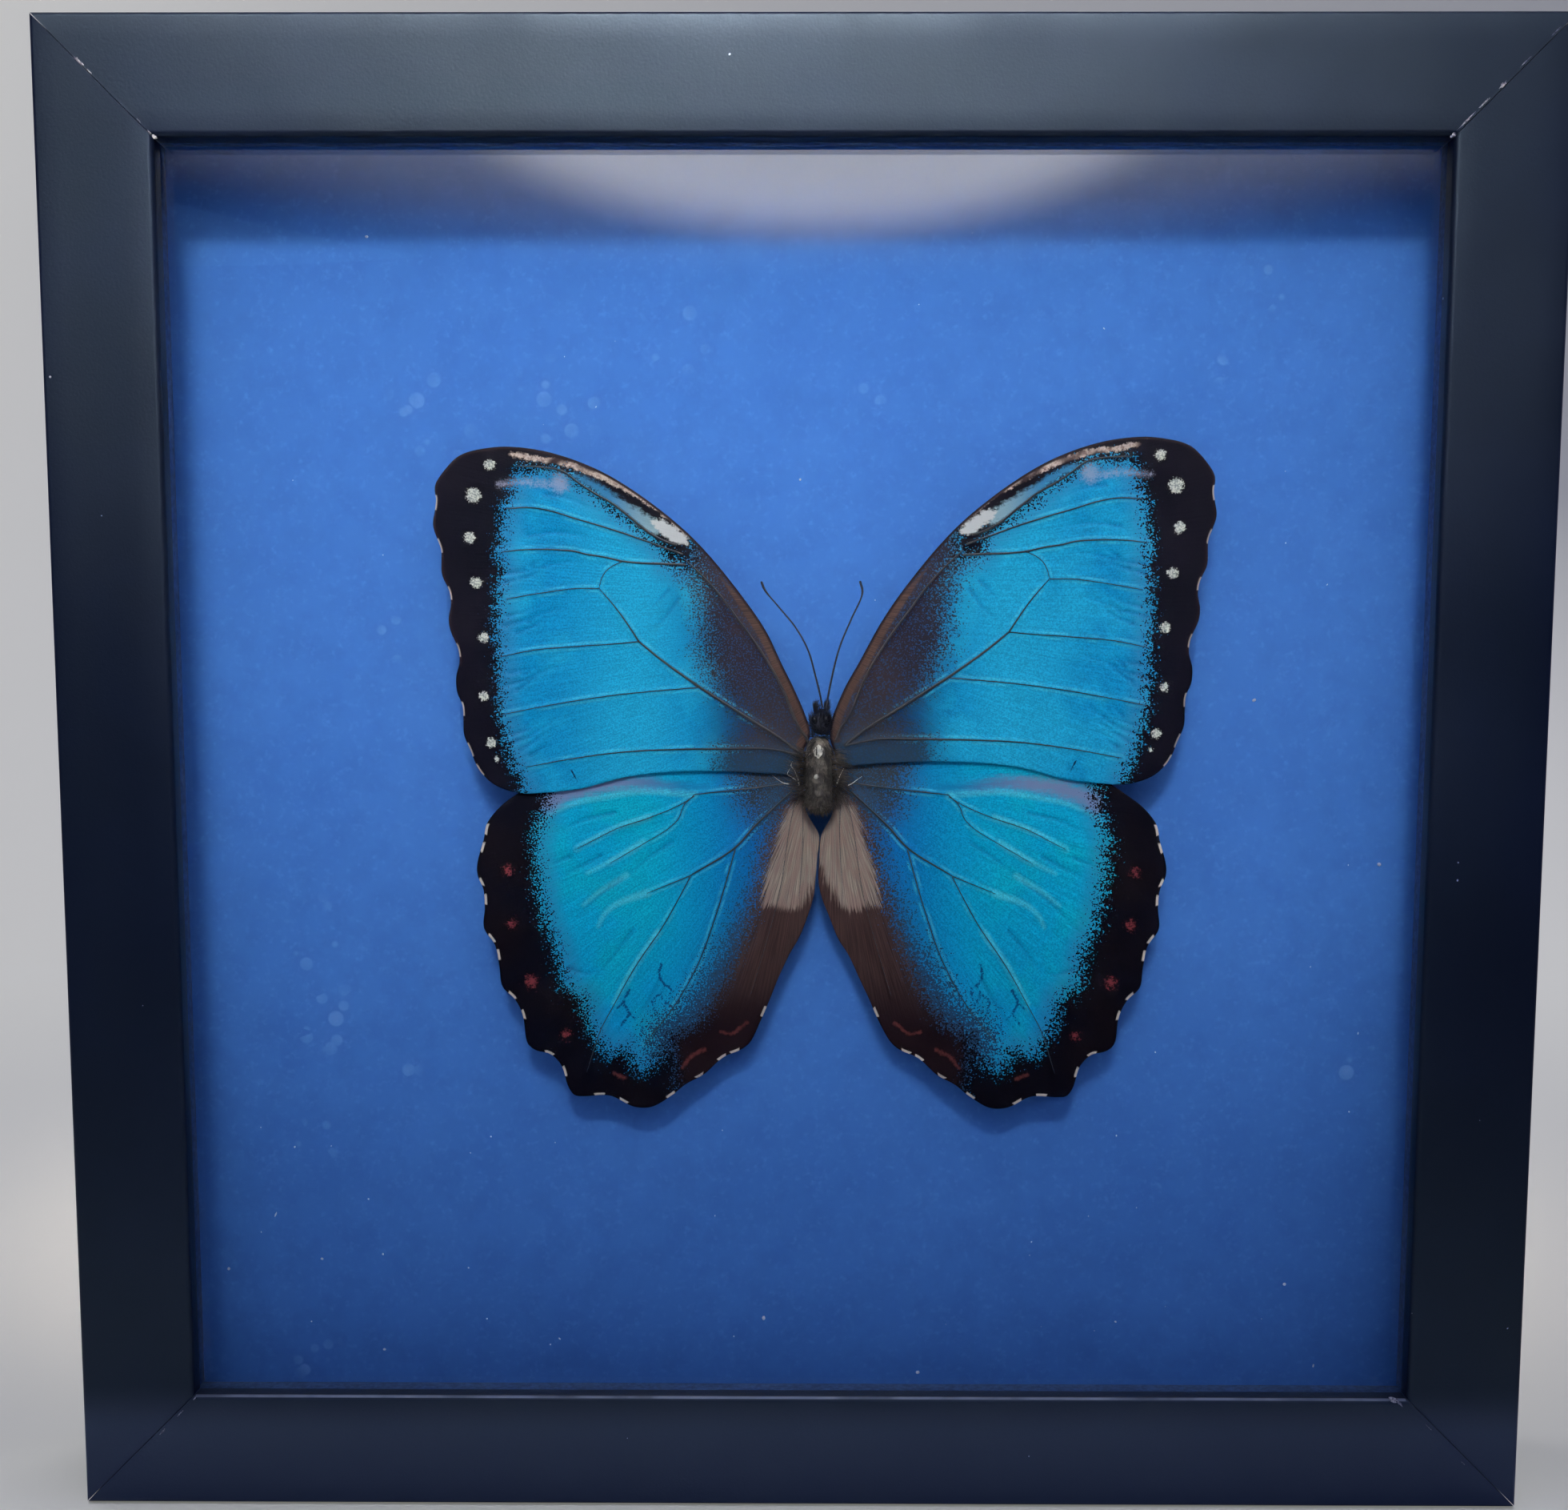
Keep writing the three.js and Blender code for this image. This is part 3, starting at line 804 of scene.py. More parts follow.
def settle(obj: Any, slot: str, *replaced: str) -> None:
    """Fixes a finished piece to the body and hides the CAD nodes that it replaces.

    Args:
        obj: The piece.
        slot: Not used.
        *replaced: The CAD nodes that it replaces.
    """
    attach(obj, BODY)
    if replaced:
        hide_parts(*replaced)
    log.info("%s: %d faces", obj.name, len(obj.data.polygons))


def set_numbers(mesh: Any, name: str, values: np.ndarray) -> None:
    """Stores one number, or one vector, for each point of a mesh."""
    kind, key = ("FLOAT", "value") if values.ndim == 1 else ("FLOAT_VECTOR", "vector")
    layer = mesh.attributes.new(name, kind, "POINT")
    layer.data.foreach_set(key, np.ascontiguousarray(values, np.float32).ravel())


def loft(rings: Sequence[np.ndarray]) -> tuple[np.ndarray, list[list[int]]]:
    """Joins rings of equally many points into a skin, closed by a fan at either end.

    Args:
        rings: The rings, each running the same way round.

    Returns:
        The skin's points and faces.
    """
    count = len(rings[0])
    points = np.vstack(rings)
    faces = []
    last = (len(rings) - 1) * count
    for low in range(0, last, count):
        high = low + count
        for i in range(count):
            j = (i + 1) % count
            faces.append([low + i, low + j, high + j, high + i])
    first = len(points)
    points = np.vstack([points, rings[0].mean(0), rings[-1].mean(0)])
    for i in range(count):
        j = (i + 1) % count
        faces.append([first, j, i])
        faces.append([first + 1, last + i, last + j])
    return points, faces


class Recipe:
    """A Geometry Nodes tree with named inputs that turns a source mesh into a plain piece."""

    def __init__(self, name: str) -> None:
        """Starts the tree.

        Args:
            name: The tree's name.
        """
        self.tree = bpy.data.node_groups.new(name, "GeometryNodeTree")
        sockets = self.tree.interface
        sockets.new_socket("Geometry", in_out="INPUT", socket_type="NodeSocketGeometry")
        sockets.new_socket("Geometry", in_out="OUTPUT", socket_type="NodeSocketGeometry")
        self.entry = self.tree.nodes.new("NodeGroupInput")
        self.exit = self.tree.nodes.new("NodeGroupOutput")
        self.finish = self.size("Finish", "Material")

    @property
    def source(self) -> Any:
        """The geometry that the tree starts from."""
        return self.entry.outputs["Geometry"]

    def size(self, name: str, kind: str = "Float", value: Any = None) -> Any:
        """Adds a named input.

        Args:
            name: The input's name.
            kind: Its type, without the NodeSocket prefix.
            value: Its first value.

        Returns:
            The socket that the tree's nodes read.
        """
        socket = self.tree.interface.new_socket(name, in_out="INPUT", socket_type="NodeSocket" + kind)
        if value is not None:
            socket.default_value = value
        return self.entry.outputs[name]

    def node(self, kind: str, inputs: dict[Any, Any] | None = None, **settings: Any) -> Any:
        """Adds a node, with values or sockets for its inputs.

        Args:
            kind: The node's type.
            inputs: Values or sockets, by input.
            **settings: Its own settings.

        Returns:
            The node.
        """
        node = self.tree.nodes.new(kind)
        for key, value in settings.items():
            setattr(node, key, value)
        for key, value in (inputs or {}).items():
            if isinstance(value, bpy.types.NodeSocket):
                self.tree.links.new(value, node.inputs[key])
            else:
                node.inputs[key].default_value = value
        return node

    def close(self, geometry: Any, smooth: bool = True) -> None:
        """Ends the tree: realizes instances, shades them and sets the material.

        Args:
            geometry: The socket to end with.
            smooth: Whether it is shaded smooth.
        """
        real = self.node("GeometryNodeRealizeInstances", {"Geometry": geometry})
        shade = self.node("GeometryNodeSetShadeSmooth", {"Geometry": real.outputs[0], "Shade Smooth": smooth})
        shaded = {"Geometry": shade.outputs[0], "Material": self.finish}
        painted = self.node("GeometryNodeSetMaterial", shaded)
        self.tree.links.new(painted.outputs[0], self.exit.inputs["Geometry"])

    def make(self, name: str, source: Any, finish: Any, **sizes: Any) -> Any:
        """Runs the tree on a source object, which it uses up.

        Args:
            name: The new piece's name.
            source: The object that the tree starts from.
            finish: The material of what it makes.
            **sizes: Values of the named inputs, with underscores for the spaces.

        Returns:
            The new piece, a plain mesh with no modifier.
        """
        modifier = source.modifiers.new(self.tree.name, "NODES")
        modifier.node_group = self.tree
        chosen = {"Finish": finish, **{key.replace("_", " "): value for key, value in sizes.items()}}
        for item in self.tree.interface.items_tree:
            if item.in_out == "INPUT" and item.name in chosen:
                modifier[item.identifier] = chosen[item.name]
        graph = bpy.context.evaluated_depsgraph_get()
        mesh = bpy.data.meshes.new_from_object(source.evaluated_get(graph))
        mesh.name = name
        made = linked(name, mesh)
        bpy.data.objects.remove(source)
        return made


def tube_recipe() -> Recipe:
    """Sweeps a round section along loose edges, as thick as their radius attribute says."""
    recipe = Recipe("tubes")
    sides = recipe.size("Sides", "Int", 8)
    curve = recipe.node("GeometryNodeMeshToCurve", {"Mesh": recipe.source})
    width = recipe.node("GeometryNodeInputNamedAttribute", {"Name": "radius"}, data_type="FLOAT")
    thick = recipe.node("GeometryNodeSetCurveRadius", {"Curve": curve.outputs[0], "Radius": width.outputs[0]})
    around = {"Resolution": sides, "Radius": 1.0}
    ring = recipe.node("GeometryNodeCurvePrimitiveCircle", around, mode="RADIUS")
    swept = recipe.node(
        "GeometryNodeCurveToMesh",
        {"Curve": thick.outputs[0], "Profile Curve": ring.outputs[0], "Fill Caps": True},
    )
    if "Scale" in swept.inputs:
        recipe.tree.links.new(width.outputs[0], swept.inputs["Scale"])
    recipe.close(swept.outputs[0])
    return recipe


def bristle_recipe() -> Recipe:
    """Grows copies of one hair over a skin, leaning a given way."""
    recipe = Recipe("bristles")
    density = recipe.size("Density", "Float", 1.0e7)
    seed = recipe.size("Seed", "Int", 1)
    lean = recipe.size("Lean", "Vector", (0.0, 0.0, 0.0))
    hair = recipe.size("Hair", "Object")
    shortest = recipe.size("Shortest", "Float", 0.6)
    longest = recipe.size("Longest", "Float", 1.2)
    spread = recipe.node(
        "GeometryNodeDistributePointsOnFaces",
        {"Mesh": recipe.source, "Density": density, "Seed": seed},
    )
    stray = recipe.node(
        "FunctionNodeRandomValue",
        {0: (-0.35, -0.35, -0.35), 1: (0.35, 0.35, 0.35), "Seed": seed},
        data_type="FLOAT_VECTOR",
    )
    way = recipe.node("ShaderNodeVectorMath", {0: spread.outputs["Normal"], 1: lean}, operation="ADD")
    way = recipe.node("ShaderNodeVectorMath", {0: way.outputs[0], 1: stray.outputs[0]}, operation="ADD")
    turn = recipe.node("FunctionNodeAlignRotationToVector", {"Vector": way.outputs[0]}, axis="Z")
    size = recipe.node(
        "FunctionNodeRandomValue",
        {2: shortest, 3: longest, "Seed": seed},
        data_type="FLOAT",
    )
    one = recipe.node("GeometryNodeObjectInfo", {"Object": hair})
    placed = recipe.node(
        "GeometryNodeInstanceOnPoints",
        {
            "Points": spread.outputs["Points"],
            "Instance": one.outputs["Geometry"],
            "Rotation": turn.outputs[0],
            "Scale": size.outputs[1],
        },
    )
    recipe.close(placed.outputs[0])
    return recipe


def speck_recipe() -> Recipe:
    """Puts one small uneven flake on each loose point, as large as its speck_size attribute says."""
    recipe = Recipe("specks")
    seed = recipe.size("Seed", "Int", 5)
    width = recipe.node("GeometryNodeInputNamedAttribute", {"Name": "speck_size"}, data_type="FLOAT")
    points = recipe.node("GeometryNodeMeshToPoints", {"Mesh": recipe.source})
    flake = recipe.node("GeometryNodeMeshIcoSphere", {"Radius": 1.0, "Subdivisions": 1})
    turn = recipe.node(
        "FunctionNodeRandomValue",
        {0: (0.0, 0.0, 0.0), 1: (math.tau, math.tau, math.tau), "Seed": seed},
        data_type="FLOAT_VECTOR",
    )
    squash = recipe.node(
        "FunctionNodeRandomValue",
        {0: (0.35, 0.35, 0.35), 1: (1.3, 0.9, 1.1), "Seed": seed},
        data_type="FLOAT_VECTOR",
    )
    size = recipe.node(
        "ShaderNodeVectorMath",
        {0: squash.outputs[0], "Scale": width.outputs[0]},
        operation="SCALE",
    )
    placed = recipe.node(
        "GeometryNodeInstanceOnPoints",
        {
            "Points": points.outputs[0],
            "Instance": flake.outputs[0],
            "Rotation": turn.outputs[0],
            "Scale": size.outputs[0],
        },
    )
    recipe.close(placed.outputs[0], smooth=False)
    return recipe


def thread(name: str, lines: Sequence[tuple[np.ndarray, np.ndarray]]) -> Any:
    """Makes loose edges with a radius at each point, for the tube recipe.

    Args:
        name: The object's name.
        lines: Each line's points in millimetres, and its radius at each.

    Returns:
        The object.
    """
    points: list[Any] = []
    edges: list[tuple[int, int]] = []
    radii: list[float] = []
    for line, radius in lines:
        first = len(points)
        points.extend(line.tolist())
        radii.extend(radius.tolist())
        edges.extend((first + i, first + i + 1) for i in range(len(line) - 1))
    mesh = bpy.data.meshes.new(name)
    mesh.from_pydata((np.array(points) * MM).tolist(), edges, [])
    set_numbers(mesh, "radius", np.array(radii) * MM)
    obj = linked(name, mesh)
    return obj


def hair_source(length: float, radius: float, bend: float) -> Any:
    """Makes one bent three-sided hair that stands on the origin.

    Args:
        length: Its length in millimetres.
        radius: Its radius at the root.
        bend: How far its tip hangs over.

    Returns:
        The object, which the bristle recipe copies.
    """
    rings = []
    for t in (0.0, 0.35, 0.7, 1.0):
        angles = np.arange(3) * math.tau / 3
        wide = radius * (1.0 - 0.92 * t)
        middle = np.array([bend * t * t, 0.0, length * t])
        ring = np.stack([wide * np.cos(angles), wide * np.sin(angles), np.zeros(3)], axis=1)
        rings.append(ring + middle)
    points, faces = loft(rings)
    mesh = bpy.data.meshes.new("hair")
    mesh.from_pydata((points * MM).tolist(), [], faces)
    obj = linked("hair", mesh)
    return obj


# ---- Frame ----


class Turn(Enum):
    """The four rails, by how many quarter turns each lies from the bottom one."""

    BOTTOM = 0
    LEFT = 1
    TOP = 2
    RIGHT = 3


@dataclass
class Rails:
    """Four mitred rails of foil-wrapped board, and the chips in their joints."""

    face: float = 19.5
    lip: float = 3.5
    wall: float = 10.0
    mitre_gap: float = 0.1
    arris: float = 0.8
    sight_round: float = 1.0
    rear_chamfer: float = 0.4
    stations: int = 120
    # Chips in the foil along the mitres: across, up, length, width and slope in degrees.
    chips: tuple[tuple[float, float, float, float, float], ...] = (
        (-117.0, 242.2, 1.9, 0.5, -45), (-115.4, 240.6, 1.2, 0.25, -45), (-107.7, 233.0, 0.9, 0.3, -45),
        (-105.2, 230.4, 0.9, 0.7, -45), (-106.0, 231.2, 1.0, 0.2, -45),
        (105.2, 230.6, 1.0, 0.6, 45), (107.2, 232.8, 3.6, 0.28, 45), (110.0, 235.6, 2.4, 0.24, 45),
        (112.9, 238.4, 1.6, 0.6, 45), (116.4, 242.0, 2.6, 0.16, 45), (121.0, 246.6, 2.2, 0.14, 45),
        (-111.2, 12.9, 1.3, 0.4, 45), (-108.0, 16.2, 1.6, 0.2, 45), (-105.4, 18.9, 0.9, 0.3, 45),
        (103.0, 19.4, 2.0, 0.8, -15), (104.2, 18.7, 1.6, 0.4, -45), (115.6, 8.0, 1.0, 0.2, -45),
        (109.2, 14.6, 1.8, 0.14, -45),
    )

    def __post_init__(self) -> None:
        """Reads the rails' outer sizes from the frame."""
        low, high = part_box("rail_bottom")
        self.side = (high.x - low.x) / MM + 2 * self.mitre_gap
        self.front = low.y / MM
        self.depth = (high.y - low.y) / MM

    def section(self) -> np.ndarray:
        """The rail's section: height above its outer edge, and depth behind the front."""
        quarter = np.linspace(0, math.pi / 2, 7)
        a, b = self.arris, self.sight_round
        outer = [(a - a * math.cos(t), a - a * math.sin(t)) for t in quarter]
        sight = [(self.face - b + b * math.sin(t), b - b * math.cos(t)) for t in quarter]
        crown = [(x, 0.0) for x in np.linspace(a, self.face - b, 6)[1:-1]]
        inner = [(self.face, self.lip - 0.2), (self.face - 0.2, self.lip), (self.wall, self.lip)]
        c = self.rear_chamfer
        rear = [
            (self.wall, self.depth - c), (self.wall - 0.12, self.depth - 0.12), (self.wall - c, self.depth),
            (c, self.depth), (0.12, self.depth - 0.12), (0.0, self.depth - c),
        ]
        return np.array([*outer, *crown, *sight, *inner, *rear])

    def rail(self, turn: Turn, finish: Any) -> Any:
        """Builds one rail.

        Args:
            turn: Which rail.
            finish: Its material.

        Returns:
            The rail's object.
        """
        section = self.section()
        middle = self.side / 2
        rings = []
        for s in np.linspace(-1.0, 1.0, self.stations + 1):
            rise, back = section[:, 0], section[:, 1]
            across = s * (middle - rise - self.mitre_gap)
            sway = np.array([noise.noise(Vector((s * 6.0, turn.value * 9.0, r * 0.08))) for r in rise])
            edge = np.clip(1.0 - back / 1.2, 0.0, 1.0) * (1.0 - abs(s) ** 12)
            rings.append(np.stack([across, back + 0.05 * edge * (sway + 0.6), rise - middle], axis=1))
        points, faces = loft(rings)
        angle = turn.value * math.pi / 2
        x, y, z = points.T
        turned = np.stack([
            x * math.cos(angle) + z * math.sin(angle),
            y + self.front,
            -x * math.sin(angle) + z * math.cos(angle) + middle,
        ], axis=1)
        name = "rail_" + turn.name.lower()
        obj = piece(name + "_wrapped", turned, faces, finish)
        obj.data.set_sharp_from_angle(angle=math.radians(40))
        settle(obj, "rail_foil", name)
        return obj

    def chipped_mitres(self, finish: Any) -> Any:
        """Builds the pale chips along the joints, as thin torn flakes that lie on the face.

        Args:
            finish: Their material.

        Returns:
            The piece.
        """
        chance = np.random.default_rng(7)
        points: list[np.ndarray] = []
        faces: list[list[int]] = []
        sides = 14
        for x, z, length, width, slope in self.chips:
            lean = math.radians(slope)
            around = np.arange(sides) * math.tau / sides
            reach = 0.5 * (0.55 + 0.75 * chance.random(sides))
            u, v = reach * length * np.cos(around), reach * width * np.sin(around)
            px = x + u * math.cos(lean) - v * math.sin(lean)
            pz = z + u * math.sin(lean) + v * math.cos(lean)
            rings = []
            for height, scale in ((-0.12, 1.0), (0.02, 1.0), (0.06, 0.7)):
                level = np.full(sides, self.front - height)
                rings.append(np.stack([x + (px - x) * scale, level, z + (pz - z) * scale], axis=1))
            part, skin = loft(rings)
            first = sum(len(p) for p in points)
            points.append(part)
            faces.extend([[first + i for i in face] for face in skin])
        obj = piece("mitre_chips", np.vstack(points), faces, finish, smooth=False)
        settle(obj, "rail_foil")
        return obj

    def build(self) -> None:
        """Builds the rails and their chips."""
        finish = FoilFinish().build()
        for turn in Turn:
            self.rail(turn, finish)
        self.chipped_mitres(CoreFinish().build())


@dataclass
class Glazing:
    """The pane, the paper, the spacers and the board, which keep their CAD shapes."""

    def dress(self, finish: Any, *nodes: str) -> None:
        """Gives CAD nodes a material.

        Args:
            finish: The material.
            *nodes: The nodes' names.
        """
        for name in nodes:
            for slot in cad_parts[name].material_slots:
                slot.material = finish
            log.info("%s: dressed in %s", name, finish.name)

    def build(self) -> None:
        """Dresses the glass, the paper, the spacers and the board."""
        self.dress(GlassFinish().build(), "glass_pane")
        self.dress(PaperFinish().build(), "backing_paper")
        self.dress(HardboardFinish().build(), "backing_board")
        sides = ("bottom", "left", "top", "right")
        self.dress(CardFinish().build(), *(f"spacer_{side}" for side in sides))
        steel = SteelFinish().build()
        self.dress(steel, *(f"tab_{side}_{end}" for side in sides for end in (1, 2)))
        self.dress(steel, "hanger", "hanger_rivet_1", "hanger_rivet_2")
        self.dress(CorkFinish().build(), "mounting_post")


# ---- Wings ----


class Side(Enum):
    """The butterfly's left and right wings, as seen from the front."""

    LEFT = -1
    RIGHT = 1


@dataclass(frozen=True)
class Vein:
    """A vein: its line on the wing, its width at either end, and a tube flag that is not read, as every vein
    stands up as a tube.
    """

    points: tuple[Pair, ...]
    start: float
    end: float
    tube: bool = True


FOREWING_VEINS = (
    Vein(((24.9, 39.3), (26.5, 39.7), (29.4, 41.2), (32.6, 43.7), (35.8, 46.2), (39.0, 48.0), (41.6, 49.7),
          (44.1, 51.5), (47.4, 52.2), (51.9, 52.4)), 0.75, 0.4),
    Vein(((23.9, 37.7), (26.5, 38.6), (30.1, 39.9), (34.2, 41.3), (38.4, 42.6), (42.3, 43.7), (46.2, 44.9),
          (50.0, 45.5), (53.9, 45.3)), 0.5, 0.34),
    Vein(((23.4, 35.9), (27.5, 36.1), (30.7, 36.2), (34.0, 36.5), (37.2, 37.2), (40.4, 37.7), (42.4, 38.2),
          (44.9, 38.4), (47.5, 38.5), (51.4, 38.4), (55.0, 38.0)), 0.62, 0.3),
    Vein(((34.0, 36.5), (35.9, 35.7), (37.2, 34.6), (37.9, 33.2), (38.2, 31.9)), 0.24, 0.24),
    Vein(((38.2, 31.9), (42.4, 31.9), (46.3, 31.4), (50.2, 30.8), (54.1, 30.1)), 0.24, 0.3),
    Vein(((3.5, 3.7), (7.0, 6.3), (11.9, 9.4), (16.7, 12.4), (21.5, 15.5), (27.7, 19.9), (31.4, 22.9)),
         0.9, 0.55),
    Vein(((31.4, 22.9), (34.0, 26.8), (36.0, 29.4), (38.2, 31.9)), 0.5, 0.26),
    Vein(((31.4, 22.9), (36.0, 22.5), (42.2, 22.1), (49.2, 21.5), (55.4, 20.3)), 0.32, 0.26),
    Vein(((21.5, 15.1), (29.9, 14.4), (37.9, 13.5), (46.7, 12.1), (55.3, 10.4)), 0.32, 0.24),
    Vein(((3.5, 3.5), (9.2, 4.6), (15.8, 4.6), (24.7, 4.5), (33.5, 4.1), (42.4, 3.0), (51.2, 1.4)),
         0.6, 0.24),
    Vein(((1.9, 4.4), (2.7, 6.6), (3.6, 7.8), (4.7, 9.8), (5.7, 12.4), (7.4, 16.2), (10.4, 21.2),
          (14.2, 26.4), (18.4, 31.9), (23.4, 36.8)), 0.9, 0.4),
)
FOREWING_CREASES = (
    ((54.2, 34.4), (50.6, 34.9), (46.4, 36.0), (41.0, 36.6)), ((51.9, 33.6), (49.4, 34.4), (47.6, 35.6)),
    ((50.0, 35.6), (47.8, 36.8)), ((54.4, 32.8), (52.2, 33.6)),
    ((54.8, 25.6), (51.6, 26.4), (47.5, 27.9), (43.9, 29.0)), ((54.0, 27.2), (50.9, 28.1), (49.0, 29.1)),
    ((52.6, 24.4), (49.3, 25.8), (46.6, 28.1)), ((50.5, 26.2), (48.6, 27.9)),
    ((55.0, 15.2), (51.2, 16.4), (47.4, 18.1), (42.4, 19.4)), ((53.8, 17.5), (50.6, 18.2), (47.9, 18.4)),
    ((52.6, 14.6), (49.8, 16.6), (48.2, 18.8)), ((51.3, 17.2), (49.1, 19.2)),
    ((54.2, 5.3), (50.8, 6.6), (47.2, 8.9), (44.6, 10.7)), ((53.6, 7.0), (50.6, 8.1), (48.2, 9.9)),
    ((52.2, 4.3), (49.3, 6.2), (46.5, 8.1)), ((51.2, 8.6), (49.4, 10.3)), ((50.3, 3.4), (47.4, 5.4)),
    ((50.2, 40.9), (45.2, 41.4), (40.4, 40.7)), ((47.5, 47.8), (43.4, 47.1), (40.0, 45.4)),
    ((24.6, 30.2), (27.4, 26.6), (30.3, 24.2)), ((26.4, 31.6), (29.6, 28.4)),
)
FOREWING_BORDER = (
    (23.0, 35.6), (26.8, 36.4), (27.2, 38.0), (28.1, 39.6), (30.0, 41.0), (34.2, 44.0), (39.0, 47.8),
    (41.6, 49.6), (44.8, 51.5), (48.0, 51.8), (51.9, 51.4), (52.9, 47.8), (54.2, 45.0), (54.6, 41.2),
    (55.3, 38.0), (54.7, 34.8), (55.4, 30.9), (55.5, 27.7), (55.8, 25.2), (55.3, 20.0), (55.5, 15.0),
    (55.2, 10.0), (53.8, 4.0), (51.5, -2.5), (51.0, -20.0), (90.0, -20.0), (90.0, 80.0), (14.0, 80.0),
    (18.0, 50.0),
)
FOREWING_ROOT = (
    (23.0, 35.6), (21.4, 32.9), (20.4, 29.7), (19.8, 24.9), (19.8, 21.6), (18.9, 18.6), (16.3, 15.1),
    (13.2, 11.6), (11.4, 8.5), (13.6, 5.4), (16.7, 3.2), (16.7, 0.6), (16.7, -20.0), (-30.0, -20.0),
    (-30.0, 80.0), (23.0, 60.0),
)
FOREWING_SPOTS = (
    Dot(56.7, 52.7, 0.85), Dot(59.5, 47.6, 1.2), Dot(60.3, 40.5, 0.9), Dot(59.3, 32.9, 0.9),
    Dot(58.2, 23.6, 0.8), Dot(58.3, 13.6, 0.72), Dot(57.1, 5.6, 0.78), Dot(56.2, 2.8, 0.35),
)
FOREWING_DASHES = (
    (65.7, 46.4), (65.1, 39.2), (63.3, 31.3), (62.1, 21.6), (61.6, 11.5), (60.5, 4.5), (58.8, 1.2),
)
FOREWING_STRIPE = Stroke(
    ((23.0, 41.4), (26.0, 44.1), (28.4, 45.9), (31.9, 48.0), (35.5, 49.8), (38.4, 51.1), (41.4, 52.2),
     (43.4, 52.8), (45.5, 53.3), (48.5, 53.6), (51.1, 54.1), (52.9, 54.5)), 1.3, 0.8)
FOREWING_BAND = Stroke(
    ((28.6, 42.3), (31.3, 44.0), (34.3, 46.0), (37.2, 48.1), (39.6, 49.6), (42.3, 50.8)), 2.3, 0.7)
FOREWING_PATCH = Area(
    ((29.3, 43.6), (27.2, 43.4), (24.8, 42.0), (22.9, 40.4), (23.0, 39.4), (25.1, 39.6), (26.9, 40.8),
     (28.6, 42.2)))
FOREWING_SMUDGE = (Dot(44.8, 49.6, 1.3), Stroke(((45.8, 49.2), (50.0, 49.8), (55.0, 49.4)), 0.5, 0.1))
FOREWING_NICKS = (
    Stroke(((43.3, 0.9), (42.8, -0.1), (42.3, -1.1)), 0.3, 0.16),
    Stroke(((42.8, 0.0), (43.5, -0.9)), 0.2, 0.12),
)

HINDWING_VEINS = (
    Vein(((4.8, -1.2), (11.4, -2.1), (22.1, -3.3)), 0.5, 0.3),
    Vein(((22.1, -3.6), (24.8, -5.2), (30.1, -7.4), (35.5, -9.2), (39.9, -11.4), (42.6, -12.8)), 0.26, 0.2),
    Vein(((22.1, -3.4), (23.9, -5.2), (24.8, -7.4), (26.6, -9.2), (31.0, -11.9), (36.7, -15.2)), 0.26, 0.18),
    Vein(((5.1, -2.7), (11.7, -8.9), (15.0, -12.5), (22.8, -17.4)), 0.7, 0.42),
    Vein(((22.8, -17.4), (30.4, -20.5)), 0.3, 0.22),
    Vein(((22.8, -17.6), (27.4, -25.9), (32.3, -33.1), (36.5, -40.5), (38.8, -44.9), (41.2, -52.2)),
         0.3, 0.2),
    Vein(((15.0, -12.9), (18.0, -23.2), (21.4, -32.6), (26.0, -40.8), (31.0, -47.0)), 0.38, 0.22),
    Vein(((4.6, -4.6), (5.6, -9.5), (7.2, -20.0), (9.8, -30.0), (12.4, -38.6)), 0.18, 0.12),
    Vein(((3.3, -5.0), (3.2, -10.0), (3.4, -15.0), (3.9, -21.5)), 0.2, 0.12),
)
HINDWING_RIDGES = (
    Stroke(((22.1, -3.3), (26.5, -2.9), (31.4, -2.8), (37.2, -3.7), (42.5, -4.8), (47.0, -6.8), (49.2, -8.8)),
           0.75, 0.1),
    Stroke(((30.1, -7.2), (35.5, -9.0), (39.9, -11.1), (42.6, -12.5)), 0.5, 0.0),
    Stroke(((30.4, -20.5), (34.0, -21.7), (36.3, -22.8), (38.0, -24.4), (39.0, -26.4)), 0.8, 0.0),
    Stroke(((28.6, -27.4), (32.8, -33.4), (36.4, -39.9)), 0.5, 0.0),
    Stroke(((31.0, -11.6), (36.7, -14.9), (40.8, -17.0)), 0.6, 0.0),
    Stroke(((34.0, -17.4), (38.6, -20.2), (41.6, -22.6)), 0.5, 0.0),
)
HINDWING_CREASES = (
    ((38.4, -14.0), (42.0, -15.9), (46.6, -18.2)), ((35.0, -18.2), (40.0, -22.0), (45.2, -27.6)),
    ((32.8, -27.0), (36.8, -32.0), (40.6, -36.6)), ((44.4, -33.8), (41.2, -34.6), (38.4, -33.9)),
    ((36.0, -6.4), (41.0, -7.6), (46.0, -10.0)), ((28.0, -35.4), (31.0, -40.6), (34.4, -45.2)),
    ((44.0, -14.2), (47.4, -15.6)), ((26.0, -11.5), (30.5, -14.6), (35.2, -18.8)),
)
HINDWING_BORDER = (
    (47.2, -3.6), (48.6, -7.7), (49.8, -11.6), (49.2, -17.9), (48.1, -25.5), (46.2, -30.0), (44.9, -36.8),
    (41.8, -39.1), (40.4, -44.5), (37.8, -49.0), (34.3, -48.2), (31.6, -52.0), (28.3, -49.9), (26.1, -45.9),
    (24.0, -60.0), (24.0, -90.0), (90.0, -90.0), (90.0, 30.0), (46.5, 30.0),
)
HINDWING_FOLD = (
    (26.1, -45.9), (21.7, -43.6), (18.0, -38.2), (15.3, -32.6), (12.6, -25.4), (10.8, -18.7), (9.0, -10.3),
    (6.4, -4.4), (3.0, -1.0), (-20.0, 0.0), (-20.0, -90.0), (26.1, -90.0),
)
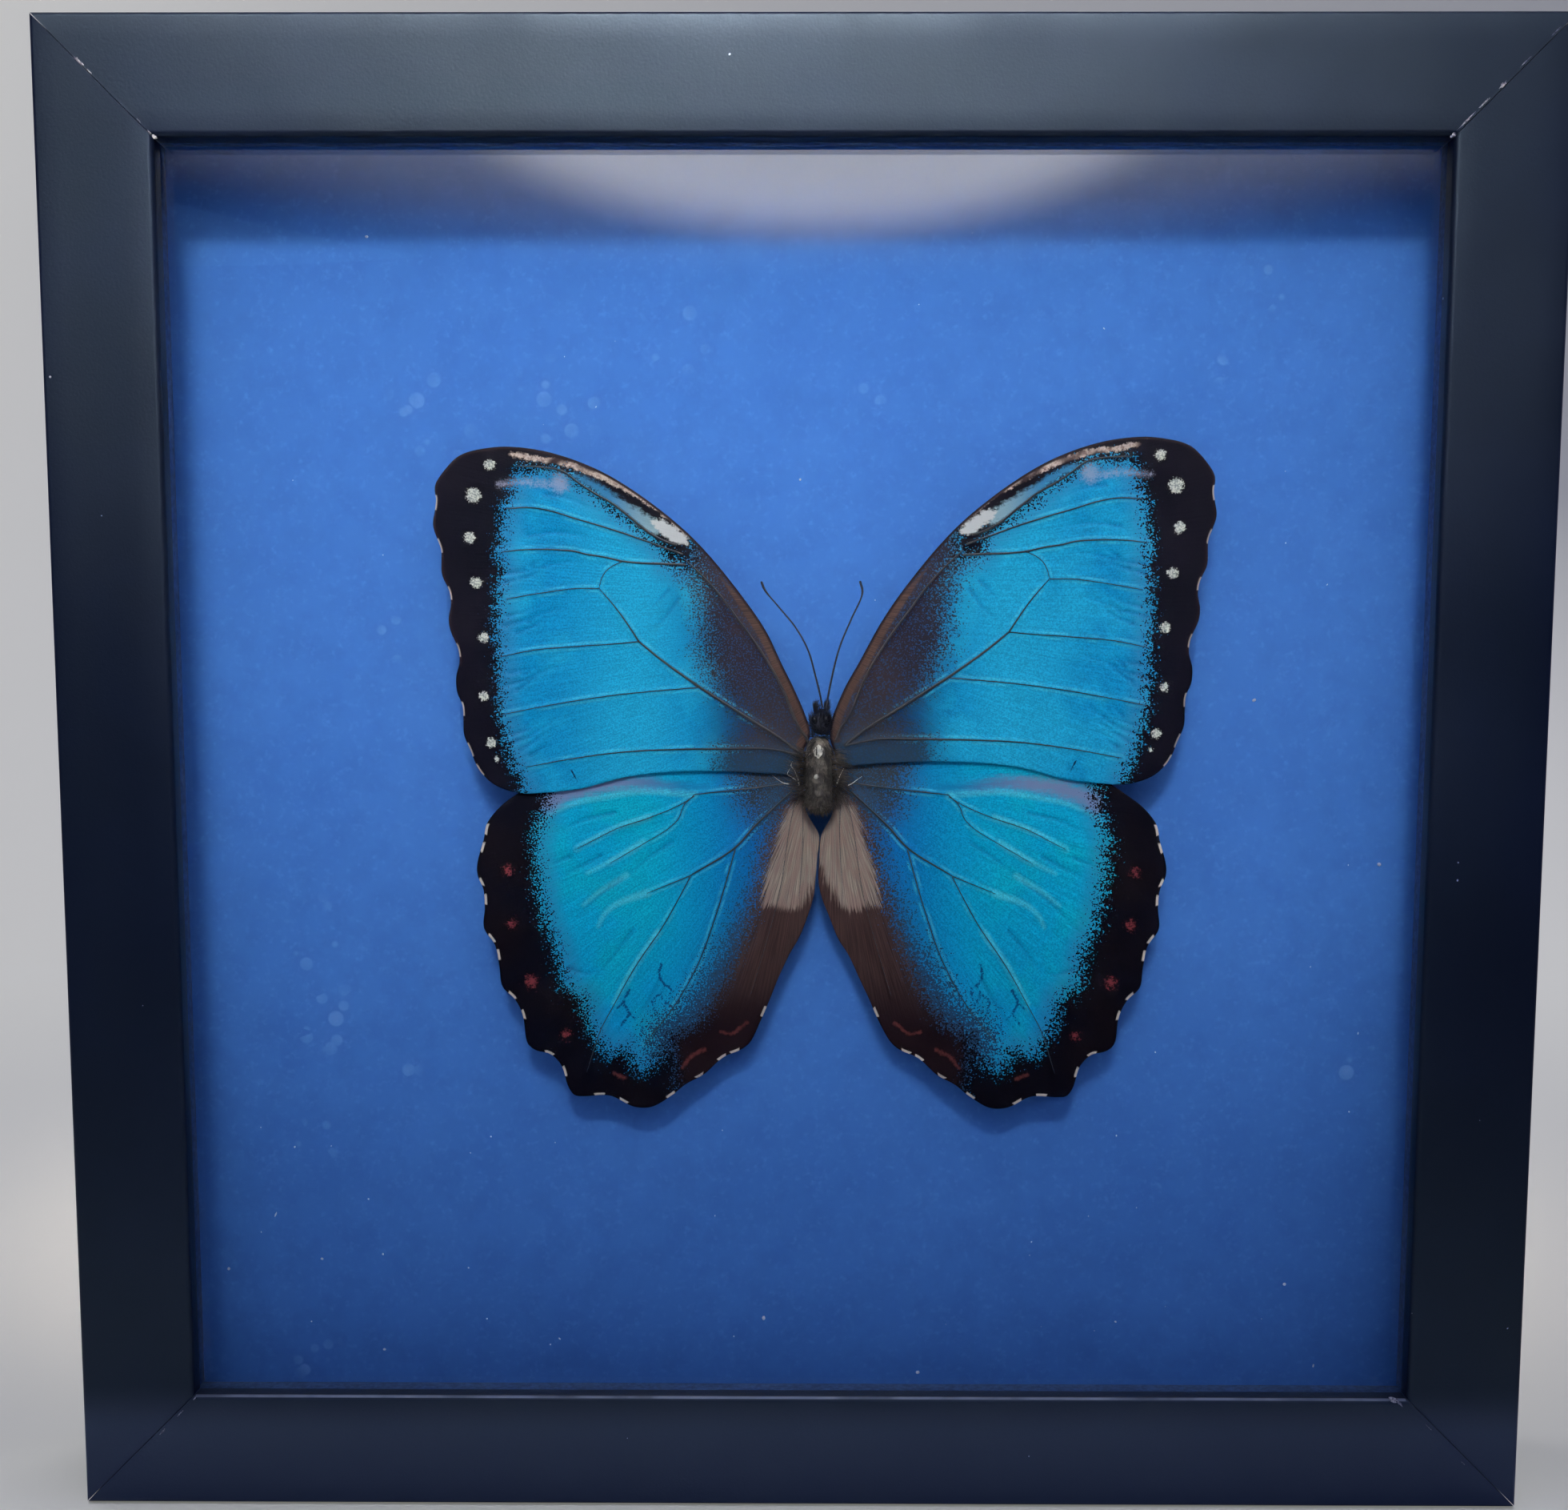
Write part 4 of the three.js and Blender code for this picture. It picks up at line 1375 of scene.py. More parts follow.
HINDWING_GREY = (
    (3.6, -4.2), (5.6, -5.8), (6.7, -8.4), (8.0, -12.7), (9.3, -17.1), (10.1, -22.6), (8.4, -22.6),
    (5.8, -23.5), (3.7, -22.9), (1.8, -19.6), (-1.0, -14.0), (-1.0, -9.0), (1.6, -5.6),
)
HINDWING_BAND = Stroke(
    ((20.3, -2.0), (24.8, -2.0), (31.0, -1.2), (38.1, -1.6), (44.3, -3.0), (47.9, -4.8)), 1.2, 3.0)
HINDWING_SPOTS = (
    Dot(54.6, -16.6, 0.85), Dot(54.0, -25.9, 0.85), Dot(50.8, -36.1, 1.05), Dot(44.8, -45.6, 0.75),
)
HINDWING_STREAKS = (
    Stroke(((13.0, -43.4), (15.8, -45.4), (17.6, -45.0)), 0.5, 0.4),
    Stroke(((20.4, -48.2), (22.8, -49.4), (24.4, -51.4)), 0.6, 0.4),
    Stroke(((34.6, -53.2), (36.4, -52.4)), 0.6, 0.4),
)
HINDWING_DASHES = (
    (58.0, -9.4), (58.6, -12.6), (58.7, -18.3), (58.3, -21.6), (57.3, -28.2), (56.3, -31.3), (53.9, -38.2),
    (51.8, -41.8), (47.6, -48.3), (44.8, -51.9), (39.0, -55.8), (34.5, -56.9), (26.7, -55.9), (21.7, -52.3),
    (17.7, -49.3), (15.3, -48.1), (10.1, -41.4),
)
HINDWING_SCRATCHES = (
    Stroke(((28.0, -33.0), (28.3, -35.4), (27.4, -36.6), (28.0, -38.4), (26.9, -40.2)), 0.4, 0.2),
    Stroke(((27.5, -36.4), (26.4, -37.4), (26.6, -39.2)), 0.3, 0.2),
    Stroke(((28.0, -38.2), (29.6, -39.4), (29.2, -41.4)), 0.3, 0.16),
    Stroke(((33.6, -37.6), (34.6, -39.8), (33.8, -41.6), (35.0, -43.8)), 0.5, 0.24),
    Stroke(((34.4, -39.6), (35.8, -40.8)), 0.3, 0.16), Stroke(((33.9, -41.4), (32.6, -42.8)), 0.3, 0.16),
    Stroke(((31.2, -43.6), (31.8, -45.2)), 0.24, 0.16),
)


def wings_middle() -> Pair:
    """The middle between the wings, which lies to the right of the thorax."""
    low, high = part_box("thorax")
    aside, tail = 0.5, 6.4
    return ((low.x + high.x) / 2 / MM + aside, low.z / MM + tail)


@dataclass
class Wing:
    """One wing: a thin closed sheet with raised veins, whose markings are numbers on its points."""

    side: Side
    finish: Any
    vein_finish: Any
    tubes: Recipe
    shift: Pair = (0.0, 0.0)  # how far the wing lies from its mirror image's place
    lattice: float = 0.3
    thickness: float = 0.12
    kind: str = "wing"
    fan: Pair = (0.0, 0.0)  # where the rows of scales run from
    row_radius: float = 45.0  # how far from there their width is true
    veins: tuple[Vein, ...] = ()
    creases: tuple[tuple[Pair, ...], ...] = ()

    def __post_init__(self) -> None:
        """Reads where the wing lies from the frame."""
        self.name = f"{self.kind}_{self.side.name.lower()}"
        low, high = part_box(self.name)
        self.depth = (low.y + high.y) / 2 / MM
        self.centre = wings_middle()
        self.seed = 3.0 if self.side is Side.LEFT else 11.0

    def outline(self) -> np.ndarray:
        """The wing's edge line, walked round the front of its CAD node and smoothed."""
        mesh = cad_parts[self.name].data
        co = np.array([v.co for v in mesh.vertices]) / MM
        front = co[:, 1].min() + 0.01
        keys = [tuple(p) for p in np.round(co, 3)]
        following = {}
        for face in mesh.polygons:
            ids = list(face.vertices)
            if all(co[i, 1] < front for i in ids):
                ring = [keys[i] for i in ids]
                following.update({(a, b): True for a, b in zip(ring, ring[1:] + ring[:1])})
        rim = {a: b for a, b in following if (b, a) not in following}
        walk = [next(iter(rim))]
        while rim[walk[-1]] != walk[0]:
            walk.append(rim[walk[-1]])
        return smooth_line([(x, z) for x, _, z in walk], self.lattice, closed=True)

    def drawn(self, places: np.ndarray) -> np.ndarray:
        """Turns places in the row frame into the wing's own drawing."""
        return (places - np.array(self.centre) - np.array(self.shift)) * np.array([self.side.value, 1.0])

    def placed(self, places: np.ndarray) -> np.ndarray:
        """Turns places on the wing's own drawing into the row frame."""
        return places * np.array([self.side.value, 1.0]) + np.array(self.centre) + np.array(self.shift)

    def marks(self, places: np.ndarray, margin: np.ndarray) -> dict[str, np.ndarray]:
        """The numbers that the finish draws the wing's markings from.

        Args:
            places: Points on the wing.
            margin: How far each lies from its edge.

        Returns:
            One list of numbers for each marking.
        """
        raise NotImplementedError

    def form(self, places: np.ndarray) -> np.ndarray:
        """The wing's own gentle swell towards the glass."""
        raise NotImplementedError

    def vein_depth(self, places: np.ndarray) -> np.ndarray:
        """How deep each place lies inside the nearest vein."""
        return deepest([Stroke(v.points, 0.7 * v.start, 0.7 * v.end) for v in self.veins], places)

    def crease_depth(self, places: np.ndarray) -> np.ndarray:
        """How strongly each place is creased, from 0 to 1.

        Args:
            places: Points on the wing.

        Returns:
            One number for each.
        """
        total = np.zeros(len(places))
        for line in self.creases:
            away, along = nearest_on(smooth_line(line), places)
            fade = np.clip(1.0 - along, 0.0, 1.0) ** 0.6
            total = np.maximum(total, np.exp(-((away / 0.42) ** 2)) * fade)
        return total

    def relief(self, places: np.ndarray, vein: np.ndarray, crease: np.ndarray) -> np.ndarray:
        """How far the wing stands towards the glass at each place, in millimetres.

        Args:
            places: Points on the wing.
            vein: How deep each lies inside a vein.
            crease: How strongly each is creased.

        Returns:
            One height for each.
        """
        away = np.maximum(-vein, 0.0)
        sway = np.array([noise.noise(Vector((x * 0.045, z * 0.045, self.seed))) for x, z in places])
        pucker = np.array([noise.noise(Vector((x * 0.3, z * 0.3, self.seed + 5.0))) for x, z in places])
        ridge = 0.12 * np.exp(-((away / 0.4) ** 2))
        sag = -0.2 * (1.0 - np.exp(-away / 2.4))
        return ridge + sag - 0.26 * crease + 0.22 * sway + 0.05 * pucker + self.form(places)

    def sheet(self) -> Any:
        """Builds the wing's sheet with its markings."""
        rim = self.outline()
        low, high = rim.min(0), rim.max(0)
        step = self.lattice
        rows = np.arange(low[1], high[1], step * math.sqrt(0.75))
        columns = np.arange(low[0], high[0], step)
        grid = np.array([(x + (row % 2) * step / 2, z) for row, z in enumerate(rows) for x in columns])
        grid = grid[inside(rim, grid)]
        clear, _ = nearest_on(np.vstack([rim, rim[:1]]), grid)
        grid = grid[clear > 0.55 * step]
        clear = clear[clear > 0.55 * step]
        flat = np.vstack([rim, grid])
        count = len(rim)
        edges = [(i, (i + 1) % count) for i in range(count)]
        made = delaunay_2d_cdt([Vector(p) for p in flat], edges, [], 0, 1e-6, False)
        flat = np.array([tuple(v) for v in made[0]])
        corners = np.array(made[2])
        corners = corners[inside(rim, flat[corners].mean(axis=1))]
        margin = np.concatenate([np.zeros(count), clear])
        places = self.drawn(flat)
        vein, crease = self.vein_depth(places), self.crease_depth(places)
        lift = self.relief(places, vein, crease)
        total = len(flat)
        thin = self.thickness * np.clip(margin / 0.5, 0.35, 1.0) / 2
        front = np.stack([flat[:, 0], self.depth - lift - thin, flat[:, 1]], axis=1)
        back = np.stack([flat[:, 0], self.depth - lift + thin, flat[:, 1]], axis=1)
        faces = []
        for a, b, c in corners.tolist():
            (ax, az), (bx, bz), (cx, cz) = flat[a], flat[b], flat[c]
            turned = (bx - ax) * (cz - az) < (cx - ax) * (bz - az)
            near = [a, c, b] if turned else [a, b, c]
            faces.append(near)
            faces.append([total + i for i in reversed(near)])
        for a, b in edges:
            faces.append([a, total + a, total + b, b])
        obj = piece(f"{self.name}_scaled", np.vstack([front, back]), faces, self.finish)
        fields = self.marks(places, margin)
        fields.update({"vein": vein, "crease": crease})
        fields["place"] = np.column_stack([places, np.full(total, self.seed)])
        away = places - np.array(self.fan)
        along = np.arctan2(away[:, 1], away[:, 0]) * self.row_radius
        fields["flow"] = np.column_stack([np.hypot(*away.T), along, np.full(total, self.seed)])
        for name, values in fields.items():
            set_numbers(obj.data, name, np.concatenate([values, values]))
        settle(obj, "wing", self.name)
        return obj

    def raised_veins(self) -> Any:
        """Builds the veins as thin tubes half sunk in the sheet."""
        lines = []
        for vein in self.veins:
            line = smooth_line(vein.points, 0.6)
            lift = self.relief(line, self.vein_depth(line), self.crease_depth(line))
            spot = self.placed(line)
            depth = self.depth - lift - self.thickness / 2
            radius = np.linspace(vein.start, vein.end, len(line)) * 0.27
            radius[-3:] *= np.array([0.85, 0.65, 0.4])
            lines.append((np.column_stack([spot[:, 0], depth, spot[:, 1]]), radius))
        source = thread(f"{self.name}_vein_lines", lines)
        obj = self.tubes.make(f"{self.name}_veins", source, self.vein_finish, Sides=8)
        settle(obj, "wing")
        return obj

    def build(self) -> None:
        """Builds the sheet and its veins."""
        self.sheet()
        self.raised_veins()


@dataclass
class Forewing(Wing):
    """A forewing."""

    kind: str = "forewing"
    fan: Pair = (-25.0, 30.0)
    row_radius: float = 70.0
    veins: tuple[Vein, ...] = FOREWING_VEINS
    creases: tuple[tuple[Pair, ...], ...] = FOREWING_CREASES

    def form(self, places: np.ndarray) -> np.ndarray:
        """The front edge stands a little proud, and the hind edge lies on the hindwing."""
        x, z = places.T
        return 0.25 * np.clip(z / 50.0, 0.0, 1.0) ** 2 + 0.1 * np.cos(x / 14.0) - 0.08

    def marks(self, places: np.ndarray, margin: np.ndarray) -> dict[str, np.ndarray]:
        """The forewing's areas, spots and edge dashes.

        Args:
            places: Points on the wing.
            margin: How far each lies from its edge.

        Returns:
            One list of numbers for each marking.
        """
        x, z = places.T
        dashes = deepest([Dot(a, b, 1.3) for a, b in FOREWING_DASHES], places)
        costal = (x < 0.62 * z + 1.5) & (z > 4.0)
        strip = np.minimum(1.65 - margin, margin - 0.25) - np.maximum(x - 13.0, 0.0) * 0.14
        brown = np.where(costal, strip, -5.0)
        return {
            "rim": Area(FOREWING_BORDER).depth(places),
            "root": Area(FOREWING_ROOT).depth(places),
            "spot": deepest(FOREWING_SPOTS, places),
            "dash": np.minimum(dashes, 0.24 - margin),
            "stripe": FOREWING_STRIPE.depth(places),
            "band": FOREWING_BAND.depth(places),
            "patch": FOREWING_PATCH.depth(places),
            "smudge": deepest(FOREWING_SMUDGE, places),
            "nick": deepest(FOREWING_NICKS, places),
            "edge": np.where(z > x * 0.3, 0.42 - margin, -5.0),
            "costa": brown,
        }


@dataclass
class Hindwing(Wing):
    """A hindwing."""

    kind: str = "hindwing"
    fan: Pair = (2.0, 0.0)
    veins: tuple[Vein, ...] = HINDWING_VEINS
    creases: tuple[tuple[Pair, ...], ...] = HINDWING_CREASES

    def form(self, places: np.ndarray) -> np.ndarray:
        """Ridges stand up, painted pale by the finish as a highlight, and the brown fold beside the body
        bends back to the paper.
        """
        fold = np.clip(Area(HINDWING_FOLD).depth(places) / 8.0, 0.0, 1.0)
        ridges = np.clip(deepest(HINDWING_RIDGES, places) + 0.5, 0.0, 0.8)
        return 0.16 * ridges - 0.9 * fold * fold * (3.0 - 2.0 * fold)

    def marks(self, places: np.ndarray, margin: np.ndarray) -> dict[str, np.ndarray]:
        """The hindwing's areas, spots, streaks and edge dashes.

        Args:
            places: Points on the wing.
            margin: How far each lies from its edge.

        Returns:
            One list of numbers for each marking.
        """
        dashes = deepest([Dot(a, b, 1.0) for a, b in HINDWING_DASHES], places)
        return {
            "rim": Area(HINDWING_BORDER).depth(places),
            "fold": Area(HINDWING_FOLD).depth(places),
            "grey": Area(HINDWING_GREY).depth(places),
            "root": Dot(2.0, 1.0, 13.0).depth(places),
            "band": HINDWING_BAND.depth(places),
            "spot": deepest(HINDWING_SPOTS, places),
            "streak": deepest(HINDWING_STREAKS, places),
            "scratch": deepest(HINDWING_SCRATCHES, places),
            "ridge": deepest(HINDWING_RIDGES, places),
            "dash": np.minimum(dashes, 0.42 - margin),
        }


# ---- Body ----


@dataclass
class Body:
    """Thorax, head, palps and antennae, with their hair. Its drawing starts at the wings' middle."""

    tubes: Recipe
    bristles: Recipe
    profile: tuple[Pair, ...] = (
        (0.05, -6.35), (1.3, -6.2), (2.1, -5.4), (2.5, -3.4), (2.6, -0.6), (2.5, 1.8), (2.3, 3.8),
        (2.0, 5.3), (1.3, 6.4), (0.05, 6.85),
    )
    depth_ratio: float = 1.25
    aside: float = -0.5
    head_aside: float = -0.2
    antenna_left: tuple[Pair, ...] = (
        (0.1, 11.7), (-0.3, 13.7), (-1.1, 16.9), (-2.4, 21.4), (-4.5, 25.2), (-7.4, 28.7), (-9.8, 31.6),
        (-10.4, 33.0))
    antenna_right: tuple[Pair, ...] = (
        (0.8, 11.7), (1.1, 13.9), (1.7, 17.0), (3.0, 22.0), (4.9, 26.6), (6.8, 31.1), (6.4, 33.1))
    # Bare pale bristles over the wing roots: their lines, and their radius at the root.
    bare_bristles: tuple[tuple[tuple[Pair, ...], float], ...] = (
        (((-3.9, -1.6), (-4.1, -0.5), (-4.5, 0.5), (-4.8, 1.3)), 0.13),
        (((-4.3, -0.8), (-5.2, -0.2), (-5.9, 0.3), (-5.4, 1.4)), 0.08),
        (((-5.6, -1.4), (-6.6, -1.2), (-7.6, -0.6), (-8.5, 0.1)), 0.09),
        (((-4.9, 1.2), (-5.3, 1.8), (-5.0, 2.5)), 0.09),
        (((2.5, -1.7), (2.9, -0.5), (3.3, 0.4), (3.8, 1.3)), 0.14),
        (((4.6, -1.6), (5.2, -1.3), (6.0, -0.7), (6.9, -0.1)), 0.09),
    )
    # Marks on the thorax: its pale patches, smoother bare skin painted pale as a highlight, and the pits and
    # creases between its plates, painted dark as shade.
    heart: Area = Area(((-0.7, 5.4), (-1.5, 4.4), (-1.2, 3.4), (-0.6, 2.9), (0.1, 3.8), (0.3, 4.5),
                        (-0.1, 5.1)))
    slit: Stroke = Stroke(((-0.95, 5.0), (-0.95, 3.6)), 0.18, 0.3)
    bead: Dot = Dot(-0.95, -0.1, 0.42)
    collar_line: Stroke = Stroke(((-2.4, 4.4), (-1.9, 5.6), (-1.1, 6.6), (0.1, 6.0), (0.8, 4.9)), 0.3, 0.3)
    pits: tuple[Any, ...] = (
        Dot(-1.2, 2.6, 0.24), Stroke(((-1.9, -0.9), (-1.4, -1.5), (-0.5, -1.5), (0.0, -0.9)), 0.5, 0.5),
        Stroke(((-1.9, 4.6), (-2.2, 1.0), (-2.3, -2.6)), 0.3, 0.5),
        Stroke(((0.9, 4.0), (1.1, 1.0), (1.2, -2.6)), 0.3, 0.5),
        Stroke(((-1.9, 1.0), (-1.2, 1.5), (-0.2, 1.4), (0.6, 0.8)), 0.3, 0.4),
        Stroke(((-2.2, -3.2), (-0.8, -3.6), (1.0, -3.1)), 0.5, 0.3),
    )

    def __post_init__(self) -> None:
        """Reads where the body lies from the frame."""
        low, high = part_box("thorax")
        self.x, self.z = wings_middle()
        self.y = (low.y + high.y) / 2 / MM

    def at(self, points: np.ndarray) -> np.ndarray:
        """Moves points drawn round the wings' middle to their place."""
        return points + np.array([self.x, self.y, self.z])

    def thorax(self, finish: Any) -> Any:
        """Builds the thorax: a broad back between two side swellings, with a waist and a neck.

        Args:
            finish: Its material.

        Returns:
            The piece.
        """
        rings = []
        sides = 64
        around = np.arange(sides) * math.tau / sides
        front = np.clip(-np.sin(around), 0.0, 1.0)
        for radius, height in smooth_line(self.profile, 0.2):
            side = np.exp(-(((np.abs(np.cos(around)) - 0.58) / 0.13) ** 2))
            flank = 0.10 * side * front * math.exp(-(((height + 0.4) / 2.6) ** 2))
            waist = 0.05 * math.exp(-(((height + 2.4) / 0.45) ** 2))
            neck = 0.05 * math.exp(-(((height - 2.6) / 0.4) ** 2))
            wide = max(radius, 0.03) * (1.0 - flank - waist - neck)
            x, y = wide * np.cos(around), wide * np.sin(around) * self.depth_ratio
            lump = np.array([noise.noise(Vector((a, b, height)) * 1.3) for a, b in zip(x, y)])
            scale = 1.0 + 0.06 * lump - 0.03
            rings.append(np.stack([x * scale + self.aside, y * scale, np.full(sides, height)], axis=1))
        points, faces = loft(rings)
        obj = piece("thorax_skin", self.at(points), faces, finish)
        x, y, z = points.T
        facing = np.clip(-y / 2.2, 0.0, 1.0)
        flat = np.stack([x, z], axis=1)

        def mask(mark: Any, soft: float) -> np.ndarray:
            """How far each point lies in a mark, from 0 to 1.

            Args:
                mark: The mark.
                soft: The width of its border.

            Returns:
                One value for each point.
            """
            return np.clip(mark.depth(flat) / soft + 0.5, 0.0, 1.0)

        # Pale patches facing the front: smoother skin painted pale as a highlight.
        bare = mask(self.heart, 0.2) * (1.0 - mask(self.slit, 0.1))
        bare = np.maximum(bare, mask(self.bead, 0.2))
        bare = np.maximum(bare, 0.6 * mask(self.collar_line, 0.2))
        # Painted shade in the pits and creases between the plates.
        pits = deepest(self.pits, flat)
        set_numbers(obj.data, "bare", bare * facing)
        set_numbers(obj.data, "pit", np.clip(pits / 0.15 + 0.5, 0.0, 1.0) * facing)
        settle(obj, "body_hair", "thorax")
        return obj

    def lump(self, name: str, centre: Sequence[float], size: Sequence[float], finish: Any) -> Any:
        """Makes an egg-shaped lump, for the head, the eyes and the skin that hair grows on.

        Args:
            name: The piece's name.
            centre: Its middle, from the body's.
            size: How large it is.
            finish: Its material.

        Returns:
            The piece.
        """
        rings = []
        sides = 24
        around = np.arange(sides) * math.tau / sides
        for t in np.linspace(0.02, 0.98, 15) * math.pi:
            ring = np.stack([np.sin(t) * np.cos(around), np.sin(t) * np.sin(around),
                             np.full(sides, -math.cos(t))], axis=1)
            rings.append(ring * np.array(size) / 2 + np.array(centre))
        points, faces = loft(rings)
        return piece(name, self.at(points), faces, finish)

    def head(self, skin: Any, eye: Any) -> None:
        """Builds the head and its two eyes.

        Args:
            skin: The head's material.
            eye: The eyes' material.
        """
        middle = self.head_aside
        obj = self.lump("head_skin", (middle, 0.0, 9.0), (2.7, 3.0, 3.9), skin)
        settle(obj, "body_hair", "head")
        for name, side in (("left", -1), ("right", 1)):
            ball = self.lump(f"eye_{name}", (middle + side * 1.0, -0.45, 9.5), (1.2, 1.7, 1.8), eye)
            settle(ball, "body_hair")

    def antennae(self, finish: Any) -> None:
        """Builds the antennae: ringed threads that thicken into a slim club.

        Args:
            finish: Their material.
        """
        for name, path in (("left", self.antenna_left), ("right", self.antenna_right)):
            line = smooth_line(path, 0.16)
            t = np.linspace(0.0, 1.0, len(line))
            low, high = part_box(f"antenna_{name}")
            depth = (low.y + high.y) / 2 / MM - self.y
            rise = np.where(t < 0.12, (t / 0.12 - 1.0) * 0.3, 0.0)
            club = 0.085 * np.clip((t - 0.86) / 0.09, 0.0, 1.0) * np.clip((1.02 - t) / 0.03, 0.0, 1.0)
            radius = 0.18 - 0.05 * t + club + 0.012 * np.sin(np.arange(len(line)) * 2.1)
            points = np.column_stack([line[:, 0], depth - rise, line[:, 1]])
            source = thread(f"antenna_{name}_line", [(self.at(points), radius)])
            settle(self.tubes.make(f"antenna_{name}_thread", source, finish, Sides=8), "body_hair",
                   f"antenna_{name}")

    def long_bristles(self, finish: Any) -> None:
        """Builds the bare pale bristles that curve out over the wing roots.

        Args:
            finish: Their material.
        """
        lines = []
        for path, thick in self.bare_bristles:
            line = smooth_line(path, 0.15)
            t = np.linspace(0.0, 1.0, len(line))
            depth = -0.9 - 0.5 * np.sin(t * math.pi)
            spot = self.at(np.column_stack([line[:, 0], depth, line[:, 1]]))
            lines.append((spot, thick * (1.0 - 0.75 * t)))
        source = thread("bristle_lines", lines)
        settle(self.tubes.make("wing_root_bristles", source, finish, Sides=6), "body_hair")

    def tuft(self, name: str, skin: Any, hair: Any, finish: Any, density: float, lean: Sequence[float],
             seed: int, *replaced: str) -> Any:
        """Grows hair over a lump of skin.

        Args:
            name: The tuft's name.
            skin: The object that the hair grows on, which is used up.
            hair: The hair that is copied.
            finish: The hair's material.
            density: Hairs on a square metre.
            lean: The way the hairs lean.
            seed: The seed of their places.
            *replaced: CAD nodes that the tuft stands for.

        Returns:
            The tuft's object.
        """
        made = self.bristles.make(name, skin, finish, Density=density, Lean=lean, Hair=hair, Seed=seed,
                                  Shortest=0.5, Longest=1.25)
        settle(made, "body_hair", *replaced)
        return made

    def build(self) -> None:
        """Builds the body."""
        skin = CuticleFinish().build()
        dark = HairFinish("dark_hair", paint(13, 12, 16), paint(72, 67, 68)).build()
        pale = HairFinish("pale_hair", paint(150, 144, 140), paint(222, 218, 212), 0.45).build()
        jet = HairFinish("jet_hair", paint(6, 10, 26), paint(16, 22, 44), 0.5).build()
        eye = HairFinish("eye", paint(8, 12, 26), paint(30, 32, 40), 0.2).build()
        thorax = self.thorax(skin)
        self.head(jet, eye)
        self.antennae(jet)
        self.long_bristles(pale)
        fur = hair_source(1.1, 0.06, 0.3)
        long_fur = hair_source(3.0, 0.06, 0.9)
        coat = thorax.copy()
        coat.data = thorax.data.copy()
        bpy.context.collection.objects.link(coat)
        self.tuft("thorax_fur", coat, fur, dark, 0.5e7, (0.0, 0.2, -1.3), 4)
        tail = self.lump("tail", (-0.3, 0.0, -4.9), (4.6, 4.6, 1.8), dark)
        self.tuft("tail_fur", tail, fur, dark, 1.8e7, (0.0, 0.0, -0.9), 6)
        crown = self.lump("crown", (self.head_aside, 0.0, 9.2), (3.3, 2.9, 3.8), dark)
        self.tuft("head_fur", crown, fur, jet, 2.6e7, (0.0, 0.1, 0.7), 9)
        collar = self.lump("collar", (self.head_aside - 0.1, 0.2, 7.0), (2.6, 2.8, 1.2), dark)
        self.tuft("collar_fur", collar, fur, jet, 2.6e7, (0.0, -0.2, 0.4), 12)
        for name, side in (("left", -1), ("right", 1)):
            palp = self.lump("palp", (self.head_aside + side * 0.95, 0.0, 11.5), (0.5, 0.6, 1.3), jet)
            self.tuft(f"palp_{name}_fur", palp, fur, jet, 9.0e7, (side * 0.1, 0.0, 2.6), 15 + side,
                      f"palp_{name}")
            shoulder = self.lump("shoulder", (self.aside + side * 2.5, -0.6, 0.3), (1.6, 1.6, 8.4), dark)
            outward = (side * 1.6, 0.35, -0.2)
            self.tuft(f"shoulder_{name}_fur", shoulder, long_fur, dark, 1.5e7, outward, 21 + side)
        for source in (fur, long_fur):
            bpy.data.objects.remove(source)


# ---- Dust ----


@dataclass
class Dust:
    """Specks of lint on the paper and on the rails."""

    specks: Recipe
    scattered: int = 60
    reach: float = 100.0  # of the scattered specks, each way from the paper's middle
    middle: float = 125.0  # height of the paper's middle
    fine: tuple[float, float] = (0.08, 0.24)  # sizes of the scattered specks
    paper_swell: float = 1.9
    rail_swell: float = 1.25
    # The larger specks: across, up and size.
    on_paper: tuple[tuple[float, float, float], ...] = (
        (79.5, 140.2, 0.32), (-94.9, 47.5, 0.22), (-78.0, 50.4, 0.2), (-103.7, 37.4, 0.2), (21.6, 18.4, 0.2),
        (-43.7, 24.5, 0.2), (87.9, 35.1, 0.2), (-6.5, 28.5, 0.22), (102.4, 111.4, 0.26), (93.6, 19.9, 0.18),
        (-74.6, 218.9, 0.2), (-0.2, 178.1, 0.12), (-86.7, 39.3, 0.16), (-88.9, 27.6, 0.13),
        (-75.7, 22.4, 0.15), (-56.9, 28.2, 0.13), (-45.4, 23.4, 0.13), (-60.1, 37.7, 0.1), (-75.6, 40.2, 0.1),
    )
    on_rails: tuple[tuple[float, float, float], ...] = (
        (-11.8, 243.2, 0.16), (110.6, 112.8, 0.14), (110.6, 109.8, 0.16), (122.3, 32.2, 0.14),
        (116.0, 68.7, 0.12), (-116.0, 170.0, 0.1), (-112.0, 88.0, 0.1), (40.0, 9.0, 0.1), (-30.0, 12.0, 0.08),
    )

    def build(self) -> None:
        """Builds all the specks as one piece."""
        chance = np.random.default_rng(21)
        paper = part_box("backing_paper")[0].y / MM - 0.06
        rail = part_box("rail_bottom")[0].y / MM + 0.05
        points = [(x, paper, z) for x, z, _ in self.on_paper] + [(x, rail, z) for x, z, _ in self.on_rails]
        sizes = [self.paper_swell * size for _, _, size in self.on_paper]
        sizes += [self.rail_swell * size for _, _, size in self.on_rails]
        for x, z in chance.uniform(-self.reach, self.reach, (self.scattered, 2)):
            points.append((x, paper, z + self.middle))
            sizes.append(float(chance.uniform(*self.fine)))
        mesh = bpy.data.meshes.new("speck_places")
        mesh.from_pydata((np.array(points) * MM).tolist(), [], [])
        set_numbers(mesh, "speck_size", np.array(sizes) * MM)
        source = linked("speck_places", mesh)
        obj = self.specks.make("dust_specks", source, DustFinish().build(), Seed=5)
        settle(obj, "blue_paper")


# ---- Studio ----


